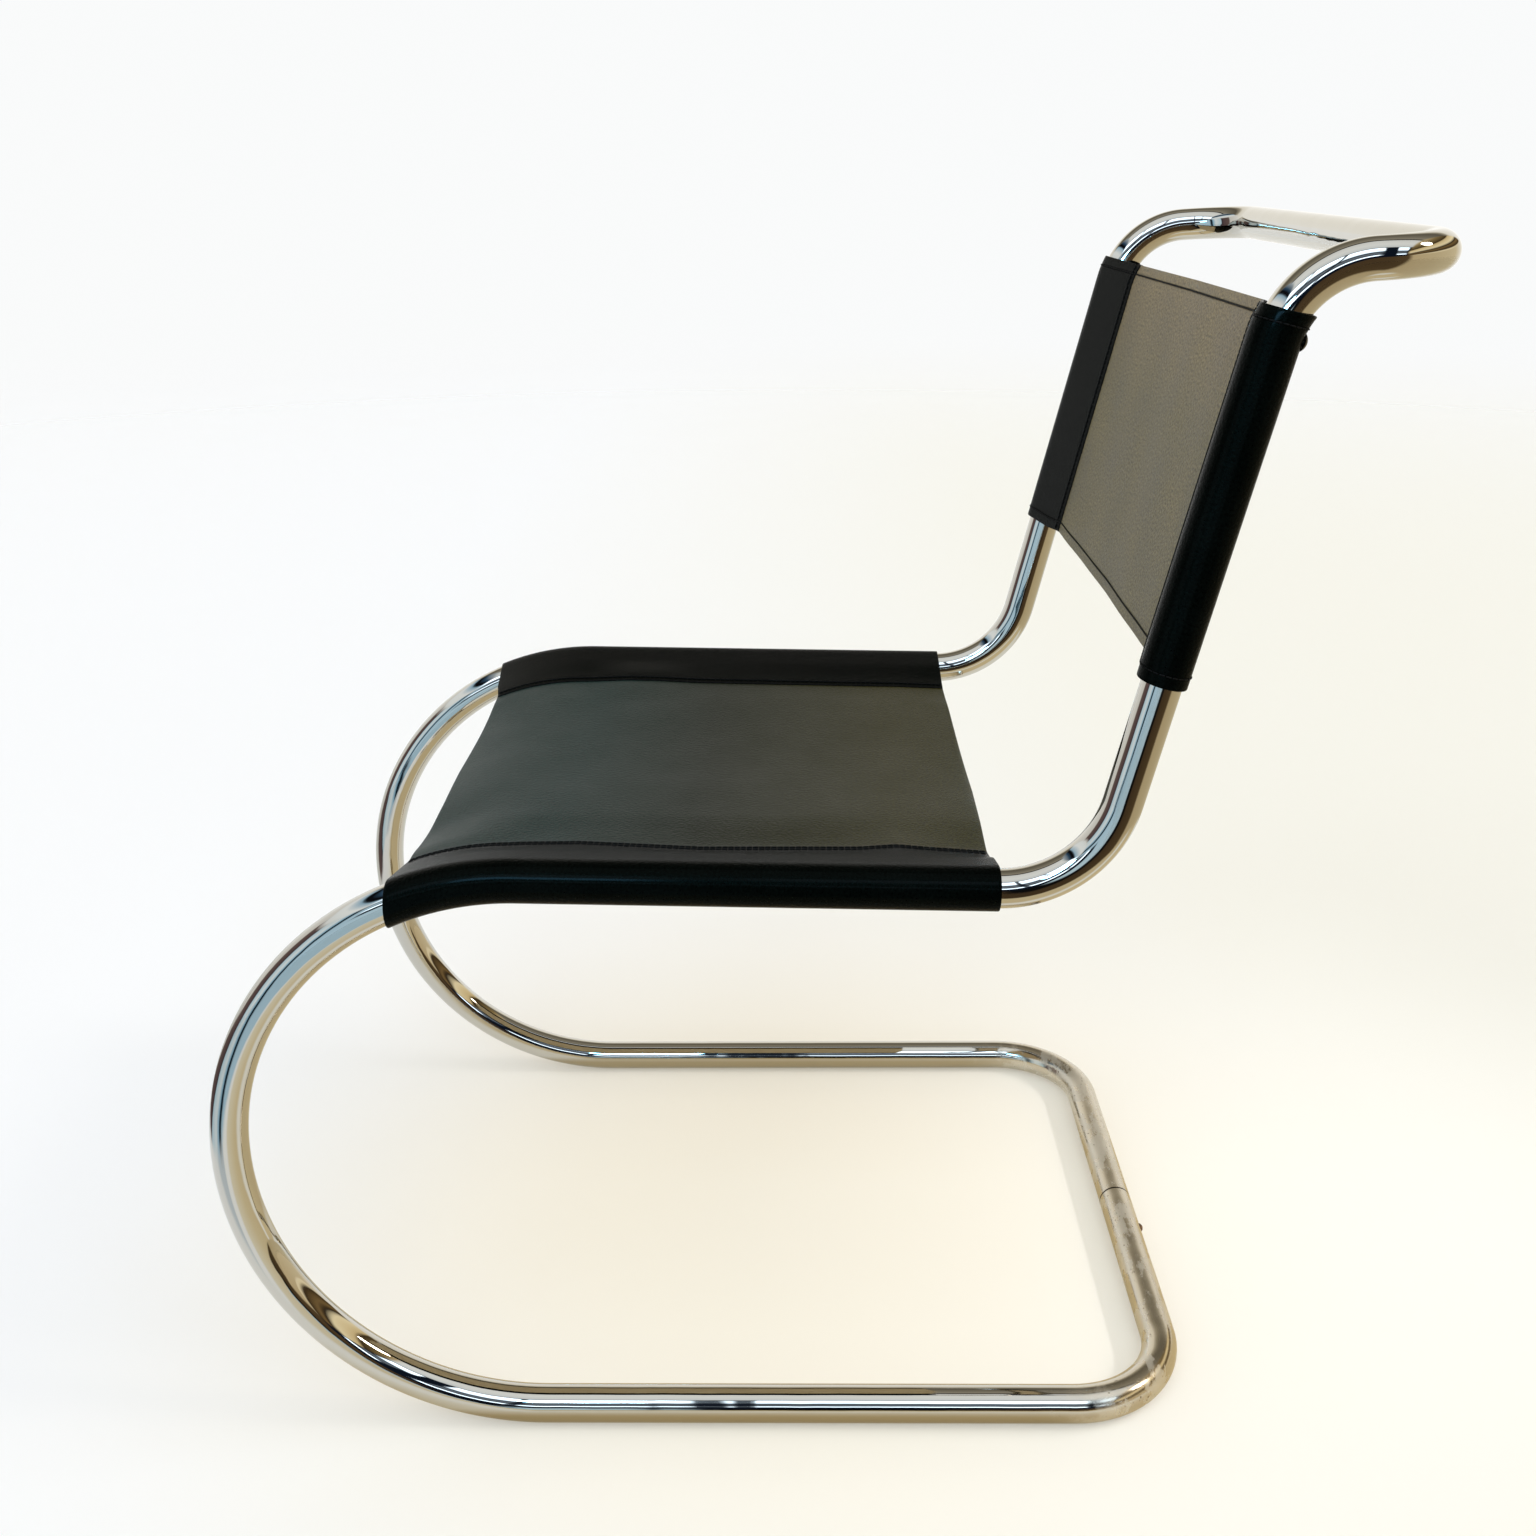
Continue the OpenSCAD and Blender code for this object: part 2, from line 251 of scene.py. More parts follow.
# Chrome plate on polished steel tube: a mirror with a slight ripple. Near the floor it has a
# painted tan reflection of the floor, and the rear bar, where the chair is dragged, is dulled in
# pale patches and pitted.
def chrome_plate():
    material, tree, shader = new_material("chrome_plate", {"Metallic": 1.0})
    place = add_node(tree, "ShaderNodeTexCoord").outputs["Object"]
    axes = add_node(tree, "ShaderNodeSeparateXYZ", {0: place})
    low = add_node(tree, "ShaderNodeMapRange", {"Value": axes.outputs["Z"]},
                   {"From Min": 45 * MM, "From Max": 30 * MM}, interpolation_type="SMOOTHSTEP")
    rear = add_node(tree, "ShaderNodeMapRange", {"Value": axes.outputs["Y"]},
                    {"From Min": 160 * MM, "From Max": 250 * MM}, interpolation_type="SMOOTHSTEP")
    dragged = add_node(tree, "ShaderNodeMath", {0: low.outputs[0], 1: rear.outputs[0]},
                       operation="MULTIPLY")
    # Pale patches, about 16 mm across and drawn out along the bar
    drawn_out = add_node(tree, "ShaderNodeMapping", {"Vector": place}, {"Scale": (0.45, 1, 1)})
    blotch = add_node(tree, "ShaderNodeTexNoise", {"Vector": drawn_out.outputs[0]},
                      {"Scale": 1 / (16.13 * MM), "Detail": 4.0, "Roughness": 0.62})
    film = add_node(tree, "ShaderNodeValToRGB", {0: blotch.outputs["Fac"]},
                    stops=[(0.49, grey(0)), (0.57, grey(1))])
    worn = add_node(tree, "ShaderNodeMath", {0: film.outputs[0], 1: dragged.outputs[0]},
                    operation="MULTIPLY")
    # Pits, about 3 mm apart
    pits = add_node(tree, "ShaderNodeTexNoise", {"Vector": place},
                    {"Scale": 1 / (3.03 * MM), "Detail": 2.0})
    specks = add_node(tree, "ShaderNodeValToRGB", {0: pits.outputs["Fac"]},
                      stops=[(0.69, grey(0)), (0.74, grey(1))])
    pitted = add_node(tree, "ShaderNodeMath", {0: specks.outputs[0], 1: dragged.outputs[0]},
                      operation="MULTIPLY")
    # Grime in the joint at the middle of the rear bar
    across = add_node(tree, "ShaderNodeMath", {0: axes.outputs["X"]}, operation="ABSOLUTE")
    joint = add_node(tree, "ShaderNodeMapRange", {"Value": across.outputs[0]},
                     {"From Min": 1.1 * MM, "From Max": 0.6 * MM})
    grimy = add_node(tree, "ShaderNodeMath", {0: joint.outputs[0], 1: dragged.outputs[0]},
                     operation="MULTIPLY")
    # The painted tan reflection of the floor is on the lower half of the floor tubes, and fades
    # out above their middle
    tan_reflection_band = add_node(tree, "ShaderNodeMapRange", {"Value": axes.outputs["Z"]},
                          {"From Min": 19 * MM, "From Max": 11 * MM},
                          interpolation_type="SMOOTHSTEP")
    skin = add_node(tree, "ShaderNodeMix", {FACTOR: tan_reflection_band.outputs[0]},
                    {UNDER: colour("c8c6bf"), OVER: colour("a89c80")}, data_type="RGBA")
    for mask, tone in ((dragged, "cac2b2"), (worn, "d6cfc0"), (pitted, "7a6a52"),
                       (grimy, "3a3024")):
        skin = add_node(tree, "ShaderNodeMix",
                        {FACTOR: mask.outputs[0], UNDER: skin.outputs[MIXED]},
                        {OVER: colour(tone)}, data_type="RGBA")
    tree.links.new(skin.outputs[MIXED], shader.inputs["Base Color"])
    # Handling haze, about 40 mm across
    haze = add_node(tree, "ShaderNodeTexNoise", {"Vector": place},
                    {"Scale": 1 / (40 * MM), "Detail": 3.0})
    dull = add_node(tree, "ShaderNodeMapRange", {"Value": haze.outputs["Fac"]},
                    {"From Min": 0.35, "From Max": 0.7, "To Min": 0.02, "To Max": 0.05})
    for mask, more in ((worn, 0.2), (dragged, 0.14)):
        dull = add_node(tree, "ShaderNodeMath", {0: mask.outputs[0], 2: dull.outputs[0]},
                        {1: more}, operation="MULTIPLY_ADD")
    tree.links.new(dull.outputs[0], shader.inputs["Roughness"])
    # The pale patches are a film on the metal
    bare = add_node(tree, "ShaderNodeMapRange", {"Value": worn.outputs[0]},
                    {"To Min": 1.0, "To Max": 0.85})
    tree.links.new(bare.outputs[0], shader.inputs["Metallic"])
    # Slight ripple left by bending and polishing, about 30 mm long
    ripple = add_node(tree, "ShaderNodeTexNoise", {"Vector": place},
                      {"Scale": 1 / (29.41 * MM), "Detail": 1.0})
    waves = add_node(tree, "ShaderNodeBump", {"Height": ripple.outputs["Fac"]},
                     {"Strength": 0.08, "Distance": 4 * MM})
    dents = add_node(tree, "ShaderNodeBump", {"Height": pitted.outputs[0],
                                              "Normal": waves.outputs[0]},
                     {"Strength": 0.4, "Distance": 0.3 * MM}, invert=True)
    tree.links.new(dents.outputs[0], shader.inputs["Normal"])
    return material


# Black full-grain saddle hide, drum dyed and rolled: a fine pebble grain. The sleeves, which keep
# a thin finish coat, are deep black with a cool gleam. The panels are matt, and their colour has
# the
# paler tones that the photograph shows: painted sheen, light on black hide put into the colour.
# Thread pulls a groove, which the colour darkens as painted shade. Its rows are given as lengths
# on the flat sheet.
PANEL_FINISH = {"sheen": "dcf2e4", "specular": 0.12, "roughness": 0.38, "coat": 0.0}
SLEEVE_FINISH = {"sheen": "a4dcc6", "specular": 0.015, "roughness": 0.2, "coat": 0.03}
SEAT_PANEL_TONES = ("060806", "0c0e0b")
# Painted sheen: the seat panel's fade along its run stands in for light on black hide
SEAT_PANEL_SHEEN_FADES = ((0.0, "072524"), (0.25, "072524"), (0.5, "0b1303"), (0.85, "302b04"),
                    (1.0, "302b04"))
# Painted sheen: the back panel's pale tones and brighter top stand in for light on black hide
BACK_PANEL_SHEEN_TONES = ("62593f", "746948")
BACK_PANEL_SHEEN_FADES = ((0.0, "000000"), (0.6, "0c0803"), (1.0, "453427"))
SLEEVE_TONES = ("020403", "050807")
SLEEVE_FADES = ((0.0, "000000"),)
GROOVE_PROFILE = ((-0.9 * MM, 0), (-0.4 * MM, 1), (0.4 * MM, 1), (0.9 * MM, 0))


def black_hide(name, finish, tones, sheen_fades, length, seam_rows, hem_rows):
    material, tree, shader = new_material(name, {
        "IOR": 1.5, "Specular IOR Level": finish["specular"],
        "Specular Tint": colour(finish["sheen"]),
        "Coat Weight": finish["coat"], "Coat Roughness": 0.13})
    flat = add_node(tree, "ShaderNodeUVMap", uv_map="flat").outputs["UV"]
    axes = add_node(tree, "ShaderNodeSeparateXYZ", {0: flat})
    out = add_node(tree, "ShaderNodeMath", {0: axes.outputs["X"]}, operation="ABSOLUTE")

    def groove_along(place, first, last, rows):
        span = add_node(tree, "ShaderNodeMapRange", {"Value": place},
                        {"From Min": first, "From Max": last})
        profile = [((row + step - first) / (last - first), grey(level))
                   for row in rows for step, level in GROOVE_PROFILE]
        return add_node(tree, "ShaderNodeValToRGB", {0: span.outputs[0]},
                        stops=[(0.0, grey(0))] + profile)

    groove = groove_along(out.outputs[0], seam_rows[0] - 5 * MM, seam_rows[1] + 5 * MM, seam_rows)
    if hem_rows:
        hem = groove_along(axes.outputs["Y"], 0, length, hem_rows)
        groove = add_node(tree, "ShaderNodeMath", {0: groove.outputs[0], 1: hem.outputs[0]},
                          operation="MAXIMUM")
    # Pebble grain of 0.8 mm, drawn at 1.6 mm so that it shows, and pores, drawn at 1.9 mm
    grain = add_node(tree, "ShaderNodeTexVoronoi", {"Vector": flat},
                     {"Scale": 1 / (1.613 * MM), "Randomness": 1.0}, feature="SMOOTH_F1")
    pores = add_node(tree, "ShaderNodeTexNoise", {"Vector": flat},
                     {"Scale": 1 / (1.923 * MM), "Detail": 4.0, "Roughness": 0.7})
    # Cloudy patches, about 60 mm across
    cloud = add_node(tree, "ShaderNodeTexNoise", {"Vector": flat},
                     {"Scale": 1 / (58.82 * MM), "Detail": 4.0, "Roughness": 0.55})
    base_tone = add_node(tree, "ShaderNodeValToRGB", {0: cloud.outputs["Fac"]},
                   stops=[(0.30, colour(tones[0])), (0.70, colour(tones[1]))])
    # Painted sheen along the sling: the panels' colour is greener at the seat's front, browner at
    # its rear and at the top of the back, as light on black hide shows it
    along = add_node(tree, "ShaderNodeMapRange", {"Value": axes.outputs["Y"]},
                     {"From Min": 0.0, "From Max": length})
    painted_sheen = add_node(tree, "ShaderNodeValToRGB", {0: along.outputs[0]},
                     stops=[(at, colour(tone)) for at, tone in sheen_fades])
    # Painted sheen: light on the panels, added to their colour
    base_tone = add_node(tree, "ShaderNodeMix", {UNDER: base_tone.outputs[0], OVER: painted_sheen.outputs[0]},
                   {FACTOR: 1.0}, data_type="RGBA", blend_type="ADD")
    # Painted shade: the colour goes near black in the stitch grooves
    base_tone = add_node(tree, "ShaderNodeMix", {FACTOR: groove.outputs[0], UNDER: base_tone.outputs[MIXED]},
                   {OVER: colour("010101")}, data_type="RGBA")
    speckle = add_node(tree, "ShaderNodeValToRGB", {0: pores.outputs["Fac"]},
                       stops=[(0.36, grey(0.3)), (0.60, grey(1.2))])
    base_tone = add_node(tree, "ShaderNodeMix", {UNDER: base_tone.outputs[MIXED], OVER: speckle.outputs[0]},
                   {FACTOR: 1.0}, data_type="RGBA", blend_type="MULTIPLY")
    tree.links.new(base_tone.outputs[MIXED], shader.inputs["Base Color"])
    rub = add_node(tree, "ShaderNodeMapRange", {"Value": cloud.outputs["Fac"]},
                   {"From Min": 0.3, "From Max": 0.7, "To Min": finish["roughness"],
                    "To Max": finish["roughness"] + 0.07})
    dull = add_node(tree, "ShaderNodeMath", {0: groove.outputs[0], 2: rub.outputs[0]},
                    {1: 0.45}, operation="MULTIPLY_ADD")
    tree.links.new(dull.outputs[0], shader.inputs["Roughness"])
    pebble = add_node(tree, "ShaderNodeBump", {"Height": grain.outputs["Distance"]},
                      {"Strength": 0.5, "Distance": 0.5 * MM})
    skin = add_node(tree, "ShaderNodeBump", {"Height": pores.outputs["Fac"],
                                             "Normal": pebble.outputs[0]},
                    {"Strength": 0.5, "Distance": 0.8 * MM})
    sunk = add_node(tree, "ShaderNodeBump", {"Height": groove.outputs[0],
                                             "Normal": skin.outputs[0]},
                    {"Strength": 1.0, "Distance": 0.8 * MM}, invert=True)
    tree.links.new(sunk.outputs[0], shader.inputs["Normal"])
    return material


# The flesh side of the same hide, left undyed: tan, fibrous and matt. The floor tubes mirror it.
def undyed_flesh():
    material, tree, shader = new_material("undyed_flesh", {"IOR": 1.5,
                                                           "Specular IOR Level": 0.1})
    flat = add_node(tree, "ShaderNodeUVMap", uv_map="flat").outputs["UV"]
    # Fibres of 0.3 mm, drawn at 1 mm so that they show, in patches about 40 mm across
    fibres = add_node(tree, "ShaderNodeTexNoise", {"Vector": flat},
                      {"Scale": 1 / (1 * MM), "Detail": 4.0, "Roughness": 0.7})
    patches = add_node(tree, "ShaderNodeTexNoise", {"Vector": flat},
                       {"Scale": 1 / (40 * MM), "Detail": 5.0, "Roughness": 0.6})
    tone = add_node(tree, "ShaderNodeValToRGB", {0: patches.outputs["Fac"]},
                    stops=[(0.32, colour("b3a282")), (0.68, colour("cbbd9f"))])
    nap = add_node(tree, "ShaderNodeMix", {FACTOR: fibres.outputs["Fac"], UNDER: tone.outputs[0]},
                   {OVER: colour("a08e6e")}, data_type="RGBA")
    tree.links.new(nap.outputs[MIXED], shader.inputs["Base Color"])
    rough = add_node(tree, "ShaderNodeMapRange", {"Value": fibres.outputs["Fac"]},
                     {"To Min": 0.8, "To Max": 0.95})
    tree.links.new(rough.outputs[0], shader.inputs["Roughness"])
    fuzz = add_node(tree, "ShaderNodeBump", {"Height": fibres.outputs["Fac"]},
                    {"Strength": 0.5, "Distance": 0.4 * MM})
    tree.links.new(fuzz.outputs[0], shader.inputs["Normal"])
    return material


# Waxed black polyester thread: dull, with the twist of its strands, 0.7 mm long.
def waxed_thread():
    material, tree, shader = new_material("waxed_thread", {"Roughness": 0.6,
                                                           "Specular IOR Level": 0.1})
    place = add_node(tree, "ShaderNodeTexCoord").outputs["Object"]
    twist = add_node(tree, "ShaderNodeTexNoise", {"Vector": place},
                     {"Scale": 1 / (0.6667 * MM)})
    base_tone = add_node(tree, "ShaderNodeValToRGB", {0: twist.outputs["Fac"]},
                   stops=[(0.3, colour("040404")), (0.7, colour("0d0d0c"))])
    tree.links.new(base_tone.outputs[0], shader.inputs["Base Color"])
    strands = add_node(tree, "ShaderNodeBump", {"Height": twist.outputs["Fac"]},
                       {"Strength": 0.5, "Distance": 0.2 * MM})
    tree.links.new(strands.outputs[0], shader.inputs["Normal"])
    return material


# Blackened steel of a pressed stud: a dark dome, rubbed brighter in spots 2.4 mm across.
def blackened_steel():
    material, tree, shader = new_material("blackened_steel", {"Metallic": 1.0})
    place = add_node(tree, "ShaderNodeTexCoord").outputs["Object"]
    rubbed = add_node(tree, "ShaderNodeTexNoise", {"Vector": place},
                      {"Scale": 1 / (2.381 * MM), "Detail": 4.0})
    tone = add_node(tree, "ShaderNodeValToRGB", {0: rubbed.outputs["Fac"]},
                    stops=[(0.4, colour("26241f")), (0.75, colour("5b554b"))])
    tree.links.new(tone.outputs[0], shader.inputs["Base Color"])
    gloss = add_node(tree, "ShaderNodeMapRange", {"Value": rubbed.outputs["Fac"]},
                     {"To Min": 0.25, "To Max": 0.5})
    tree.links.new(gloss.outputs[0], shader.inputs["Roughness"])
    return material


# Old zinc-plated screw, mostly rusted: brown and rough, in flakes 1.4 mm across.
def rusty_zinc():
    material, tree, shader = new_material("rusty_zinc", {})
    place = add_node(tree, "ShaderNodeTexCoord").outputs["Object"]
    rust = add_node(tree, "ShaderNodeTexNoise", {"Vector": place},
                    {"Scale": 1 / (1.429 * MM), "Detail": 5.0, "Roughness": 0.7})
    tone = add_node(tree, "ShaderNodeValToRGB", {0: rust.outputs["Fac"]}, stops=[
        (0.38, colour("3a2413")), (0.55, colour("7a5430")), (0.7, colour("a0937c"))])
    tree.links.new(tone.outputs[0], shader.inputs["Base Color"])
    metal = add_node(tree, "ShaderNodeValToRGB", {0: rust.outputs["Fac"]},
                     stops=[(0.55, grey(0)), (0.65, grey(1))])
    tree.links.new(metal.outputs[0], shader.inputs["Metallic"])
    rough = add_node(tree, "ShaderNodeMapRange", {"Value": rust.outputs["Fac"]},
                     {"To Min": 0.8, "To Max": 0.4})
    tree.links.new(rough.outputs[0], shader.inputs["Roughness"])
    flakes = add_node(tree, "ShaderNodeBump", {"Height": rust.outputs["Fac"]},
                      {"Strength": 0.6, "Distance": 0.3 * MM})
    tree.links.new(flakes.outputs[0], shader.inputs["Normal"])
    return material


# Turned steel of the plug: bright grey with fine turning marks. A wave repeats every pi / 10 of
# its scaled coordinate, so these marks are 0.63 mm apart.
def turned_steel():
    material, tree, shader = new_material("turned_steel", {"Metallic": 1.0})
    place = add_node(tree, "ShaderNodeTexCoord").outputs["Object"]
    marks = add_node(tree, "ShaderNodeTexWave", {"Vector": place},
                     {"Scale": pi / 10 / (0.6283 * MM), "Distortion": 0.4}, bands_direction="X")
    tone = add_node(tree, "ShaderNodeValToRGB", {0: marks.outputs["Fac"]},
                    stops=[(0.0, colour("7d8084")), (1.0, colour("9a9da0"))])
    tree.links.new(tone.outputs[0], shader.inputs["Base Color"])
    rough = add_node(tree, "ShaderNodeMapRange", {"Value": marks.outputs["Fac"]},
                     {"To Min": 0.3, "To Max": 0.42})
    tree.links.new(rough.outputs[0], shader.inputs["Roughness"])
    return material


# The frame tube: one circle, led along the floor, round the bow, under the seat, up the back
# and over the top to the middle, then mirrored.
def draw_tube(move):
    bpy.ops.mesh.extrude_region_move(TRANSFORM_OT_translate={"value": move})


def bend_tube(centre, axis, turn, steps):
    bpy.ops.mesh.spin(steps=steps, angle=turn, center=centre, axis=axis)


def frame_tube(material):
    deselect()
    bpy.ops.mesh.primitive_circle_add(vertices=64, radius=TUBE_R, rotation=(0, pi / 2, 0),
                                      location=(SEAM_GAP / 2, FLOOR_BAR_Y, FLOOR_Z))
    tube = bpy.context.object
    tube.name = "frame_tube"
    settle(tube)
    bpy.ops.object.mode_set(mode="EDIT")
    bpy.ops.mesh.select_all(action="SELECT")
    side = Vector((SIDE_X, 0, 0))
    corner_x = SIDE_X - FLOOR_CORNER_R
    rail_corner = side + ARM_END - Vector((RAIL_CORNER_R, 0, 0))
    upright = (0, 0, 1)
    across = (1, 0, 0)
    draw_tube((corner_x - SEAM_GAP / 2, 0, 0))
    bend_tube((corner_x, FLOOR_BAR_Y - FLOOR_CORNER_R, FLOOR_Z), upright, pi / 2, 20)
    draw_tube((0, -FLOOR_RUN, 0))
    bend_tube((SIDE_X, LOW_BOW_Y, BOW_MIDDLE_Z), across, pi / 2, 40)
    bend_tube((SIDE_X, HIGH_BOW_Y, BOW_MIDDLE_Z), across, pi / 2 - SEAT_HEADING, 40)
    draw_tube(SEAT_RAIL * ahead(SEAT_HEADING))
    bend_tube(side + SEAT_BEND_MIDDLE, across, SEAT_HEADING - BACK_HEADING, 28)
    draw_tube(POST_RUN * ahead(BACK_HEADING))
    bend_tube(side + TOP_BEND_MIDDLE, across, BACK_HEADING - ARM_HEADING, 28)
    draw_tube(ARM_RUN * ahead(ARM_HEADING))
    bend_tube(rail_corner, lift(ARM_HEADING), -pi / 2, 22)
    draw_tube((RAIL_CORNER_R - SIDE_X, 0, 0))
    bpy.ops.mesh.select_all(action="SELECT")
    bpy.ops.mesh.remove_doubles(threshold=0.01 * MM)
    bpy.ops.object.mode_set(mode="OBJECT")
    apply_modifier(tube, "MIRROR", merge_threshold=0.05 * MM)
    only(tube)
    bpy.ops.object.mode_set(mode="EDIT")
    bpy.ops.mesh.select_all(action="SELECT")
    bpy.ops.mesh.normals_make_consistent(inside=False)
    bpy.ops.object.mode_set(mode="OBJECT")
    apply_modifier(tube, "SOLIDIFY", thickness=TUBE_WALL, offset=-1.0)
    only(tube)
    bpy.ops.object.shade_smooth_by_angle(angle=radians(40))
    wear(tube, material)
    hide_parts("floor_tube_left", "floor_tube_right", "sprung_frame")
    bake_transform(tube)
    return tube


# The two slings. A place on a sling is (girth, run): the girth is measured on the hide from the
# middle of the chair, and the run along the tube from the sling's first end. The height is the
# distance from the tube's centre line, towards the sitter.
def seat_path(run, height):
    straight = run - HIGH_BOW_R * SEAT_WRAP
    heading = SEAT_HEADING + np.maximum(-straight, 0) / (HIGH_BOW_R + height)
    y = HIGH_BOW_Y - HIGH_BOW_R * np.sin(heading) + np.maximum(straight, 0) * cos(SEAT_HEADING)
    z = BOW_MIDDLE_Z + HIGH_BOW_R * np.cos(heading) + np.maximum(straight, 0) * sin(SEAT_HEADING)
    return y, z, heading


def back_path(run, height):
    straight = run - BACK_STRAIGHT
    heading = BACK_HEADING - np.maximum(straight, 0) / (TOP_BEND_R + height)
    below = np.minimum(straight, 0)
    y = TOP_BEND_MIDDLE.y - TOP_BEND_R * np.sin(heading) + below * cos(BACK_HEADING)
    z = TOP_BEND_MIDDLE.z + TOP_BEND_R * np.cos(heading) + below * sin(BACK_HEADING)
    return y, z, heading


# Half the section of a sling, from the middle of the panel round the tube and back under the
# seam: (girth, inboard of the tube's centre, height). The seam slopes with the sleeve, and the
# hide creases where the seam ends. The corners are rounded by averaging over fine steps, except
# at the middle of the panel.
FINE_STEP = 0.25 * MM
ROUNDING_STEPS = 18
MIDDLE_STEPS = 40


def tangent(radius, shift, inboard, height, side):
    reach = inboard - shift
    return atan2(height, reach) + side * acos(radius / hypot(reach, height))


def half_section(slack, crease_lift):
    radius = TUBE_R + slack + HIDE_T / 2
    shift = slack - PULL
    crease = SEAM_FROM_TUBE + SEAM_W
    upper = tangent(radius, shift, crease, crease_lift, 1)
    rise = (radius * sin(upper) - crease_lift) / (crease - shift - radius * cos(upper))
    under_lift = crease_lift + rise * SEAM_W - LAYERS
    lower = tangent(radius, shift, SEAM_FROM_TUBE, under_lift, -1)
    turns = np.linspace(upper, 2 * pi + lower, 60)
    inboard = np.concatenate([[SIDE_X, crease], shift + radius * np.cos(turns),
                              [SEAM_FROM_TUBE, crease]])
    height = np.concatenate([[crease_lift] * 2, radius * np.sin(turns),
                             [under_lift, crease_lift - LAYERS]])
    girth = np.concatenate([[0], np.cumsum(np.hypot(np.diff(inboard), np.diff(height)))])
    fine = np.arange(0, girth[-1], FINE_STEP)
    window = np.hanning(2 * ROUNDING_STEPS + 1)
    window /= window.sum()
    inboard, height = [
        np.convolve(np.pad(np.interp(fine, girth, line), ROUNDING_STEPS, mode="edge"),
                    window, "valid") for line in (inboard, height)]
    inboard[:MIDDLE_STEPS] = SIDE_X - fine[:MIDDLE_STEPS]
    girth = np.concatenate([[0], np.cumsum(np.hypot(np.diff(inboard), np.diff(height)))])
    return girth, inboard, height


SEAT_LENGTH = HIGH_BOW_R * SEAT_WRAP + SEAT_STRAIGHT
BACK_LENGTH = BACK_STRAIGHT + TOP_BEND_R * BACK_WRAP
PANEL_EDGE = SIDE_X - SEAM_FROM_TUBE - SEAM_W


def hill(place, middle, width):
    return np.exp(-((place - middle) / width) ** 2)


def ease(share):
    share = np.clip(share, 0, 1)
    return share * share * (3 - 2 * share)


def table(place, places, values):
    return np.interp(place, np.array(places) * MM, np.array(values) * MM)


# How far a panel hangs under the plane of its seams: by a sag and, clear of the seams, by waves.
# The seat's waves are at its front, each with its depth, place across and width in millimetres.
# It also has dimples near the left seam, and its rear edge curls down.
SEAT_WAVES = ((3.5, 112, 38), (-1.5, 10, 50), (1.5, -100, 45))
SEAT_WAVES_REACH = 70 * MM
SEAT_DIMPLE = 0.5 * MM
SEAT_DIMPLES_X = 150 * MM
SEAT_DIMPLES_W = 60 * MM
SEAT_CURL = 1.6 * MM
SEAT_CURL_W = 7 * MM
BACK_WAVE = 0.25 * MM
SEAM_HOLD = 30 * MM


def panel_sag(x, depth):
    spread = np.clip((x / PANEL_EDGE + 1) / 2, 0, 1)
    return depth * (1 - np.cos(2 * pi * spread)) / 2


def clear_of_seams(x):
    return ease((PANEL_EDGE - np.abs(x)) / SEAM_HOLD)


def seat_sag(x, run):
    front = hill(run, 0, SEAT_WAVES_REACH) * sum(
        depth * MM * hill(x, middle * MM, width * MM) for depth, middle, width in SEAT_WAVES)
    ripple = np.sin(run / (31 * MM) + x / (47 * MM))
    dimples = SEAT_DIMPLE * ripple * hill(x, SEAT_DIMPLES_X, SEAT_DIMPLES_W)
    curl = SEAT_CURL * np.clip((run - SEAT_LENGTH + SEAT_CURL_W) / SEAT_CURL_W, 0, 1) ** 2
    return panel_sag(x, SEAT_SAG) + clear_of_seams(x) * (front + dimples + curl)


def back_sag(x, run):
    wave = BACK_WAVE * np.sin(x / (17 * MM) + run / (90 * MM))
    return panel_sag(x, BACK_SAG) + clear_of_seams(x) * wave


# The seat's seams wander: each hangs lower, and the left one nearer its tube, in places. Like
# the other tables below, these give millimetres along the sling or across it.
LEFT_SEAM_PLACES = (0, 12, 70, 118, 196, 300, 324, 346, 386)
LEFT_SEAM_DROPS = (0, 0.1, 1.9, 1.0, 2.7, 1.5, 0.1, 1.2, 2.7)
LEFT_SEAM_SHIFTS = (0, 0, 2.2, 1.2, 3.3, 1.8, 0.1, 1.4, 3.1)
RIGHT_SEAM_PLACES = (0, 35, 83, 118, 140, 177, 315, 347, 386)
RIGHT_SEAM_DROPS = (-0.3, 0, 0.5, -1.4, -1.3, 0.1, 0.9, 0.9, 2.0)


def seat_seam_drop(side, run):
    return np.where(side > 0, table(run, LEFT_SEAM_PLACES, LEFT_SEAM_DROPS),
                    table(run, RIGHT_SEAM_PLACES, RIGHT_SEAM_DROPS))


def seat_seam_shift(side, run):
    return np.where(side > 0, table(run, LEFT_SEAM_PLACES, LEFT_SEAM_SHIFTS), 0)


def no_wander(side, run):
    return np.zeros_like(run)


# What each end of a sling falls short of its full length, across the chair
def seat_short(x):
    return (table(x, (-244, -190, -173, -120, -60, 0, 60, 120, 173, 244),
                  (-3.5, -0.5, 2.5, 3.0, 2.3, 1.3, 2.0, 0.3, 0, 0)),
            table(x, (-173, 60, 120, 173, 200, 244), (0, 0, 1.5, 2.8, 2.6, 2.2)))


def back_short(x):
    return (table(x, (-244, -190, -173, 0, 173, 190, 244), (2.5, 3.2, 5, 5, 5, 3, 2)),
            table(x, (-173, 0, 173, 244), (0, -1.5, -2, -1)))


